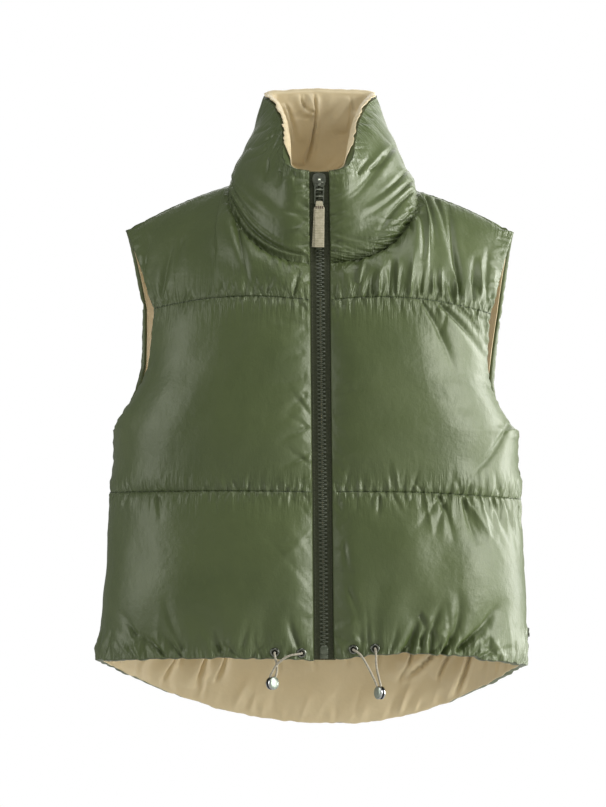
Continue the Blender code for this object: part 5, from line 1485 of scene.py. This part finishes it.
for name, grid in panels.items():
    above, beside, *hidden = LINING_STEPS[name]
    fine, facing = grid[::above, ::beside], facings[name][::above, ::beside]
    up = lengths_along(fine)
    across = lengths_across(fine)
    from_seam = np.min([across, across[:, -1:] - across, up, up[-1] - up], axis=0)
    free = 1 - np.exp(-from_seam / SEAM_HOLD)
    pleats = PLEAT_GAIN * pleat_height(fine, PLEATS[name])
    if name == "collar":
        pleats = np.where(fine[..., 1] > 0.0, pleats, 0.0)
    depth = pleats + billow(across, up, SEEDS[name] + 500, LINING_BILLOW)
    for away, (seed, *sizes) in zip((up, up[-1] - up), LINING_GATHERS):
        depth = depth + gathers(across, away, SEEDS[name] + seed, *np.array(sizes) / 1000)
    lift = LINING_ROOM + LINING_WALL + np.maximum(depth + LINING_SLACK, 0.0) * free
    inner = fine - facing * lift[..., None]
    under = fine - facing * LINING_ROOM
    if name in ("back", "collar"):
        inner[..., 0] += PLEAT_LEAN * np.maximum(pleats, 0.0) * free
    if name == "back":
        drop = HEM_DROP * np.exp(-up / DROP_FADE)
        inner[..., 2] -= drop
        under[..., 2] -= drop
    if name == "collar":
        rim_outside = outsides[name][-1, ::beside]
        inner = np.concatenate([inner, rolled_over(fine, rim_outside, LINING_WALL)])
        under = np.concatenate([under, rolled_over(fine, rim_outside, 0.0)])
    bulge = np.full(inner.shape[:2], 0.0001)
    piece = wall(f"lining_{name}_satin", inner, under, bulge, [satin], hidden)
    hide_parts("lining_" + name)
    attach(piece, "vest")

# ---- Quilting stitches --------------------------------------------------------------------
# Lockstitch in a thread of the shell's own colour, three millimetres to a stitch, sunk into
# both quilting lines of every panel.


def stitches(name, line, normals, sizes, made):
    """Small capsules in a row, of the pitch, length and radius in sizes: at each stitch's
    middle m, the points m + t length/2 cos(b) + radius sin(b) (cos(a) n + sin(a) s), t along
    the line, n off the cloth and s across, for b in half a turn and a in a whole one."""
    pitch, length, radius = sizes
    along = lengths_along(line)
    at = np.arange(pitch / 2, along[-1], pitch)
    middle = points_at(at, along, line)
    normal = unit(points_at(at, along, normals))
    tangent = unit(points_at(at, along, np.gradient(line, axis=0)))
    side = np.cross(tangent, normal)
    b = np.pi * np.array([0.0, 0.16, 0.38, 0.62, 0.84, 1.0])[:, None]
    a = np.linspace(0, 2 * np.pi, 6, endpoint=False)[None, :]
    long, high, broad = np.broadcast_arrays(np.cos(b), np.sin(b) * np.cos(a), np.sin(b) * np.sin(a))
    shape = [part[1:-1].ravel() for part in (long, high, broad)]
    shape = [np.concatenate([part, ends]) for part, ends in zip(shape, ([1, -1], [0, 0], [0, 0]))]
    points = (
        middle[:, None]
        + tangent[:, None] * (shape[0] * length / 2)[:, None]
        + normal[:, None] * (shape[1] * radius)[:, None]
        + side[:, None] * (shape[2] * radius)[:, None]
    )
    sides = grid_quads(4, 6, True).tolist()
    caps = [[24, (i + 1) % 6, i] for i in range(6)]
    caps += [[25, 18 + i, 18 + (i + 1) % 6] for i in range(6)]
    faces = [[index + 26 * n for index in face] for n in range(len(at)) for face in sides + caps]
    return put_mesh(name, points.reshape(-1, 3), faces, [made])


LOCKSTITCH = (0.0031, 0.0027, 0.00042)
thread_dyes = (0.024, 0.034, 0.016), (0.036, 0.050, 0.024)
thread = dyed("shell_thread", (0.030, 0.042, 0.020), 0.7, 0.0, *thread_dyes, 900.0)
for name in ("front_right", "front_left", "back"):
    for seam in ("lower", "chest"):
        row = SEAM_ROWS[seam]
        line = outsides[name][row] + facings[name][row] * 0.0002
        sewn = stitches(f"{seam}_stitches_{name}", line, facings[name][row], LOCKSTITCH, thread)
        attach(sewn, "vest")

# ---- Zip ----------------------------------------------------------------------------------
# Moulded teeth, eight millimetres across, on two woven tapes that are sewn inside the fronts'
# and the collar's edges. A box and pin close the bottom end.

TAPE_WALL = 0.0012
TAPE_SEAM = 0.0082  # from the zip's middle to the stitching
TAPE_STITCH = (0.0028, 0.0023, 0.00032)
CHAIN_HALF_WIDTH = 0.0042
CHAIN_BACK, CHAIN_FRONT = 0.0004, 0.0026
CHAIN_TOP = 0.0113
TO_LEFT = np.array([1.0, 0.0, 0.0])  # the vest's own left, on X
BOX_ABOVE_HEM, BOX_TALL = 0.0010, 0.0135

edge = np.concatenate([coarse["front_right"][:, 0], coarse["collar"][2::2, 0]])
zip_line = edge.copy()
zip_line[:, 0] = zip_lean(edge[:, 2])
zip_facing = unit(np.cross(unit(np.gradient(zip_line, axis=0)), TO_LEFT))
zip_facing *= -np.sign(zip_facing[:, 1:2])


def on_zip(heights):
    """Points of the zip's line at given heights, and the way that it faces there."""
    facing = points_at(heights, zip_line[:, 2], zip_facing)
    return points_at(heights, zip_line[:, 2], zip_line), unit(facing)


def swept(name, line, normals, profile, made):
    """A profile of X and height off the line, carried along it: line + x X + h n."""
    x, h = (np.array(profile)[:, k] for k in (0, 1))
    skin = line[:, None] + TO_LEFT * x[None, :, None] + normals[:, None] * h[None, :, None]
    girth = np.concatenate([[0.0], np.cumsum(np.hypot(np.diff(x), np.diff(h)))])
    along = lengths_along(line)
    uv = np.stack(np.broadcast_arrays(girth[None, :], along[:, None]), axis=-1).reshape(-1, 2)
    return put_mesh(name, skin.reshape(-1, 3), ring_faces(*skin.shape[:2]), [made], uv, 40)


tape_dyes = (0.035, 0.041, 0.018), (0.054, 0.061, 0.029)
tape_cloth = dyed("zip_tape", (0.044, 0.051, 0.024), 0.82, 0.0, *tape_dyes, 420.0)
ribbed(tape_cloth, 230.0, 0.6, "Y", 0.00022)
sewing_dyes = (0.060, 0.068, 0.036), (0.090, 0.100, 0.056)
tape_thread = dyed("tape_thread", (0.075, 0.084, 0.046), 0.7, 0.0, *sewing_dyes, 900.0)

tape_heights = np.linspace(zip_line[0, 2], zip_line[-1, 2], 200)
tape_line, tape_facing = on_zip(tape_heights)
for side, name in ((RIGHT, "zip_tape_right"), (LEFT, "zip_tape_left")):
    inner, outer = 0.0001, ZIP_HALF_WIDTH + 0.0006
    bead = CHAIN_HALF_WIDTH
    shape = [(inner, 0.0), (outer, 0.0), (outer, TAPE_WALL), (bead + 0.0010, TAPE_WALL)]
    shape += [(bead + 0.0006, TAPE_WALL + 0.0003), (bead - 0.0002, TAPE_WALL + 0.0003)]
    shape += [(bead - 0.0006, TAPE_WALL), (inner, TAPE_WALL)]
    tape = swept(name + "_woven", tape_line, tape_facing, [(side * x, h) for x, h in shape], tape_cloth)
    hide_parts(name)
    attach(tape, "vest")
    seam_line = tape_line + tape_facing * (TAPE_WALL + 0.0001) + TO_LEFT * side * TAPE_SEAM
    row = stitches(name + "_stitches", seam_line, tape_facing, TAPE_STITCH, tape_thread)
    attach(row, "vest")


def bevelled(outline, near, far, bevel):
    """A flat shape given depth: the closed outline of X and Z at four depths along Y, drawn in
    towards its middle at the first and the last."""
    outline = np.array(outline)
    middle = (outline.max(axis=0) + outline.min(axis=0)) / 2
    reach = np.maximum((outline.max(axis=0) - outline.min(axis=0)) / 2, 1e-6)
    drawn = middle + (outline - middle) * (1 - bevel / reach)
    layers = ((drawn, near), (outline, near + bevel), (outline, far - bevel), (drawn, far))
    return np.stack([np.column_stack([o[:, 0], np.full(len(o), y), o[:, 1]]) for o, y in layers])


def rounded(corners, times=2):
    """A closed outline with its corners cut off, a quarter of each side, a few times over."""
    outline = np.array(corners, dtype=float)
    for _ in range(times):
        following = np.roll(outline, -1, axis=0)
        cut = np.stack([0.75 * outline + 0.25 * following, 0.25 * outline + 0.75 * following], axis=1)
        outline = cut.reshape(-1, 2)
    return outline


# One tooth: a foot gripped on the tape's edge, a neck, and a head that locks past the middle.
lower = [(-0.0042, -0.0011), (-0.0016, -0.0009), (0.0000, -0.0007), (0.0013, -0.0009)]
TOOTH = rounded([*lower, (0.0017, 0.0000), *[(x, -z) for x, z in lower[::-1]]], 1)
TOOTH_BEVEL = 0.0005
TOOTH_FROM_BOX, TOOTH_FROM_TOP = 0.0012, 0.0010
TOOTH_PITCH = 0.0040
tooth_dyes = (0.060, 0.070, 0.042), (0.084, 0.096, 0.062)
tooth_plastic = dyed("zip_chain", (0.070, 0.080, 0.050), 0.38, 0.0, *tooth_dyes, 300.0)
chain_low = zip_line[0, 2] + BOX_ABOVE_HEM + BOX_TALL + SEAM_GAP
heights = np.arange(chain_low + TOOTH_FROM_BOX, CHAIN_TOP - TOOTH_FROM_TOP, TOOTH_PITCH / 2)
place, facing = on_zip(heights)
rise = unit(np.cross(facing, TO_LEFT))
rise *= np.sign(rise[:, 2:3])
hand = np.where(np.arange(len(heights)) % 2 == 0, 1.0, -1.0)
shape = bevelled(TOOTH, -CHAIN_FRONT, CHAIN_BACK, TOOTH_BEVEL).reshape(-1, 3)
teeth_points = (
    place[:, None]
    + TO_LEFT * (hand[:, None] * shape[None, :, 0])[..., None]
    - facing[:, None] * shape[None, :, 1, None]
    + rise[:, None] * shape[None, :, 2, None]
)
tooth_faces = ring_faces(4, len(TOOTH))
teeth_faces = []
for k in range(len(heights)):
    for face in tooth_faces:
        moved = [index + k * len(shape) for index in face]
        teeth_faces.append(moved if hand[k] > 0 else moved[::-1])
teeth = put_mesh("zip_teeth", teeth_points.reshape(-1, 3), teeth_faces, [tooth_plastic], None, 45)
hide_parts("zip_chain")
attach(teeth, "vest")


def squared_off(values, power):
    """Brings a sine or a cosine nearer to one, which makes a circle of them squarer."""
    return np.sign(values) * np.abs(values) ** power


# The box at the foot of the right tape holds the left one's pin. Both are moulded.
box_low = zip_line[0, 2] + BOX_ABOVE_HEM
BOX_RINGS = (
    # height, half width and how far it stands out
    (0.0000, 0.0034, 0.0010),
    (0.0006, 0.0040, 0.0028),
    (0.0012, 0.0042, 0.0032),
    (0.0040, 0.0042, 0.0032),
    (0.0046, 0.0038, 0.0027),
    (0.0052, 0.0042, 0.0032),
    (0.0100, 0.0042, 0.0032),
    (0.0110, 0.0040, 0.0030),
    (0.0124, 0.0036, 0.0026),
    (BOX_TALL, 0.0030, 0.0018),
)
box_heights, box_half, box_proud = np.array(BOX_RINGS).T
box_place, box_facing = on_zip(box_low + box_heights)
a = np.linspace(0, 2 * np.pi, 28, endpoint=False)
box_x, box_h = squared_off(np.cos(a), 0.5), squared_off(np.sin(a), 0.5)
box_points = (
    box_place[:, None]
    + TO_LEFT * (box_half[:, None] * box_x)[..., None]
    + box_facing[:, None] * (box_proud[:, None] * (box_h * 0.66 + 0.34))[..., None]
)
box_shades = (0.085, 0.10, 0.065), (0.13, 0.145, 0.10)
box_metal = dyed("zip_box_metal", (0.10, 0.115, 0.075), 0.34, 0.35, *box_shades, 260.0)
box_points = box_points.reshape(-1, 3)
zip_box = put_mesh("zip_box_moulded", box_points, ring_faces(10, 28), [box_metal], None, 50)
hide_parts("zip_box")
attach(zip_box, "vest")

# ---- Slider and pull ----------------------------------------------------------------------
# Two cast plates on a post, with a bridge that holds a small ladder frame. A doubled webbing
# tag is folded round the frame's foot and sewn across.

SLIDER_Z, SLIDER_TALL = 0.0098, 0.0144
SLIDER_HALF_WIDTH, SLIDER_PLATE = 0.0068, 0.0013
SLIDER_FACE = CHAIN_FRONT + SEAM_GAP + SLIDER_PLATE
HINGE_Z, HINGE_OUT = 0.0075, 0.0021
BRIDGE_WALL = 0.0009
PULL_BAR, PULL_LEG, PULL_HALF_WIDTH = 0.0008, 0.0014, 0.0050
PULL_RUNGS = (0.0000, 0.0072, 0.0141, 0.0208)
TAG_HALF_WIDTH, TAG_PLY = 0.0050, 0.0010
TAG_APART = 0.0008  # each ply's middle from the fold's own plane
TAG_TOP, TAG_BOTTOM = 0.0234, 0.0653

ends = on_zip(np.array([SLIDER_Z - SLIDER_TALL, SLIDER_Z]))[0]
slope = math.atan2(ends[1, 1] - ends[0, 1], SLIDER_TALL)
slider_foot = Matrix.Translation((zip_lean(SLIDER_Z), ends[1, 1], SLIDER_Z))
slider_place = slider_foot @ Matrix.Rotation(-slope, 4, "X")
pull_place = slider_place @ Matrix.Translation((0.0, -SLIDER_FACE - HINGE_OUT, HINGE_Z - SLIDER_Z))


def placed(points, place):
    """Points of a piece's own frame, put where the frame stands: R p + t."""
    turn_part = np.array(place.to_3x3())
    return points @ turn_part.T + np.array(place.translation)


def joined(name, shells, made, place):
    """Several closed shells as one piece. Each is its points and its faces."""
    points, faces, start = [], [], 0
    for shell_points, shell_faces in shells:
        shell_points = shell_points.reshape(-1, 3)
        fans = [shell_points[face] for face in shell_faces]
        volume = sum((np.cross(fan[1:-1], fan[2:]) @ fan[0]).sum() for fan in fans)
        outward = shell_faces if volume > 0 else [face[::-1] for face in shell_faces]
        faces += [[index + start for index in face] for face in outward]
        points.append(shell_points)
        start += len(shell_points)
    return put_mesh(name, placed(np.concatenate(points), place), faces, [made], None, 40)


def bar(start, stop, radius, around=16):
    """A round bar from start to stop with rounded ends: rings of radius along the line."""
    start, stop = np.array(start), np.array(stop)
    direction = unit(stop - start)
    length = np.linalg.norm(stop - start)
    end = [(0.35 * radius, 0.0), (0.8 * radius, 0.08 * radius), (radius, 0.35 * radius)]
    profile = end + [(across, length - inset) for across, inset in end[::-1]]
    return turned(profile, around, start, direction), ring_faces(len(profile), around)


def plate(corners, near, far, bevel, times=2):
    """A bevelled plate with rounded corners."""
    outline = rounded(corners, times)
    return bevelled(outline, near, far, bevel), ring_faces(4, len(outline))


metal_shades = (0.20, 0.22, 0.165), (0.33, 0.35, 0.28)
metal = dyed("slider_metal", (0.26, 0.28, 0.22), 0.30, 1.0, *metal_shades, 320.0)
half, tall = SLIDER_HALF_WIDTH, SLIDER_TALL / 2
edge = [(0.66 * half, -tall), (0.98 * half, -0.2 * tall), (half, 0.35 * tall), (0.80 * half, tall)]
shield = [(-edge[0][0], edge[0][1]), *edge, *[(-x, z) for x, z in edge[:0:-1]]]
front_y, back_y = -SLIDER_FACE, CHAIN_BACK + SEAM_GAP
bridge_y = front_y - HINGE_OUT - PULL_BAR - SEAM_GAP - BRIDGE_WALL
hinge_up = HINGE_Z - SLIDER_Z
over = [(front_y + 0.0004, 0.0046), (bridge_y + 0.0008, 0.0034), (bridge_y, 0.0020)]
below = [(front_y + 0.0004, 0.0030), (bridge_y + 0.0013, 0.0019), (bridge_y + BRIDGE_WALL, 0.0014)]
arch = [(y, -z) for y, z in over] + over[::-1] + below + [(y, -z) for y, z in below[::-1]]
arch = np.array(arch)
arch_points = np.stack(
    [
        np.column_stack([np.full(12, x), arch[:, 0], arch[:, 1] * s + hinge_up])
        for x, s in ((-0.0015, 0.92), (-0.0011, 1.0), (0.0011, 1.0), (0.0015, 0.92))
    ]
)
post_low = CHAIN_TOP + SEAM_GAP - SLIDER_Z
post = [(-0.0022, post_low), (0.0022, post_low), (0.0022, tall - 0.0003), (-0.0022, tall - 0.0003)]
slider = joined(
    "zip_slider_cast",
    [
        plate(shield, front_y, front_y + SLIDER_PLATE, 0.0004),
        plate(shield, back_y, back_y + SLIDER_PLATE, 0.0004),
        plate(post, front_y + 0.0006, back_y + 0.0006, 0.0002, 1),
        (arch_points, ring_faces(4, 12)),
    ],
    metal,
    slider_place,
)
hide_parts("zip_slider")
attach(slider, "vest")

foot = PULL_RUNGS[-1]
leg_x = PULL_HALF_WIDTH - PULL_LEG / 2
shells = []
for side in (RIGHT, LEFT):
    x0, x1 = side * leg_x - PULL_LEG / 2, side * leg_x + PULL_LEG / 2
    leg = [(x0, -foot - PULL_BAR), (x1, -foot - PULL_BAR), (x1, PULL_BAR), (x0, PULL_BAR)]
    shells.append(plate(leg, -PULL_LEG / 2, PULL_LEG / 2, 0.0003, 1))
for drop in PULL_RUNGS:
    shells.append(bar((-leg_x, 0.0, -drop), (leg_x, 0.0, -drop), PULL_BAR))
pull = joined("pull_frame_cast", shells, metal, pull_place)
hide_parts("pull_frame")
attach(pull, "zip_pull")

web_dyes = (0.34, 0.31, 0.20), (0.48, 0.44, 0.31)
webbing = dyed("tag_webbing", (0.42, 0.38, 0.26), 0.78, 0.0, *web_dyes, 260.0)
ribbed(webbing, 190.0, 0.8, "Y", 0.0003)
turn_radius = PULL_BAR + SEAM_GAP + TAG_PLY / 2
front_run = [(-TAG_APART, z) for z in np.linspace(-TAG_BOTTOM, -TAG_TOP - 0.0010, 40)]
swing = np.linspace(math.pi * 0.95, math.pi * 0.05, 14)
loop_run = [(turn_radius * math.cos(s), -foot + turn_radius * math.sin(s)) for s in swing]
back_run = [(TAG_APART, z) for z in np.linspace(-TAG_TOP - 0.0010, -TAG_BOTTOM + 0.0006, 40)]
tag_path = np.array(front_run + loop_run + back_run)
spread = np.clip((-TAG_TOP + 0.0006 - tag_path[:, 1]) / 0.0030, 0, 1)
spread = spread * spread * (3 - 2 * spread)
narrow = PULL_HALF_WIDTH - PULL_LEG - 0.0004
tag_half = narrow + (TAG_HALF_WIDTH - 0.0002 - narrow) * spread
behind = np.arange(len(tag_path)) > len(front_run) + len(loop_run)
hang = np.clip((-TAG_TOP - tag_path[:, 1]) / (TAG_BOTTOM - TAG_TOP), 0, 1)
shift = np.where(behind, -0.0004 - 0.0020 * hang, 0.0005 - 0.0004 * hang) * spread
slopes = np.gradient(tag_path, axis=0)
outward = unit(np.column_stack([-slopes[:, 1], slopes[:, 0]]))
a = np.linspace(0, 2 * np.pi, 20, endpoint=False)
flat_x, flat_h = squared_off(np.cos(a), 0.35), squared_off(np.sin(a), 0.6) * (TAG_PLY / 2)
tag_points = np.stack(
    [
        shift[:, None] + tag_half[:, None] * flat_x,
        tag_path[:, :1] + outward[:, :1] * flat_h,
        tag_path[:, 1:] + outward[:, 1:] * flat_h,
    ],
    axis=-1,
)
tag_faces = ring_faces(len(tag_path), 20)
tag_uv = np.stack(
    np.broadcast_arrays(tag_half[:, None] * flat_x, lengths_along(tag_path)[:, None]), axis=-1
).reshape(-1, 2)
tag = put_mesh(
    "pull_tag_webbing", placed(tag_points.reshape(-1, 3), pull_place), tag_faces, [webbing], tag_uv, 50
)
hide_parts("pull_tag")
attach(tag, "zip_pull")

bar_dyes = (0.055, 0.030, 0.020), (0.095, 0.052, 0.034)
bar_thread = dyed("tag_thread", (0.075, 0.040, 0.026), 0.7, 0.0, *bar_dyes, 900.0)
TAG_STITCH = (0.0021, 0.0018, 0.0004)
row_x = np.linspace(-TAG_HALF_WIDTH + 0.0010, TAG_HALF_WIDTH - 0.0010, 30)
for number, drop in enumerate((TAG_TOP + 0.0010, TAG_TOP + 0.0019, TAG_TOP + 0.0028)):
    row = np.column_stack([row_x, np.full(30, -TAG_APART - TAG_PLY / 2), np.full(30, -drop)])
    row = placed(row, pull_place)
    out = np.tile(np.array(pull_place.to_3x3()) @ np.array([0.0, -1.0, 0.0]), (30, 1))
    sewn = stitches(f"tag_stitches_{number}", row, out, TAG_STITCH, bar_thread)
    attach(sewn, "zip_pull")

# ---- Eyelets ------------------------------------------------------------------------------
# Stamped metal rings, pressed through the hem. The hem cord passes through four of them, and a
# fifth is at the left side seam.

EYELET_RADIUS, EYELET_HOLE, EYELET_WALL = 0.0048, 0.0023, 0.0014
ring_shades = (0.13, 0.14, 0.115), (0.22, 0.23, 0.195)
eyelet_metal = dyed("eyelet_metal", (0.17, 0.18, 0.15), 0.26, 1.0, *ring_shades, 300.0)
# A near-black disc closes the hole just above its seat: painted shade of the hem's channel that shows
# through the ring.
hole_painted_shade = finish("eyelet_hole_painted_shade", (0.010, 0.012, 0.008), 0.8)
a = np.linspace(0.0, np.pi, 13)
ring_middle, ring_half = (EYELET_RADIUS + EYELET_HOLE) / 2, (EYELET_RADIUS - EYELET_HOLE) / 2
dome = [(ring_middle + ring_half * math.cos(s), EYELET_WALL * math.sin(s) ** 0.8) for s in a]
profile = [(0.0005, 0.0), (EYELET_RADIUS - 0.0002, 0.0), *dome]
profile += [(EYELET_HOLE, 0.0003), (0.0005, 0.0003)]
part = np.repeat([0] * (len(profile) - 2) + [1], 40).tolist() + [0, 1]
finishes = [eyelet_metal, hole_painted_shade]
for name, (seat, facing) in seats.items():
    skin = turned(profile, 40, seat, facing).reshape(-1, 3)
    ring = put_mesh(name + "_ring", skin, ring_faces(len(profile), 40), finishes, None, 50, part)
    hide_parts(name)
    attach(ring, "vest")

# ---- Finish -------------------------------------------------------------------------------

dressed_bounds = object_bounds()
sizes = {
    "frame": [[float(value) for value in corner] for corner in frame_bounds],
    "dressed": [[float(value) for value in corner] for corner in dressed_bounds],
}
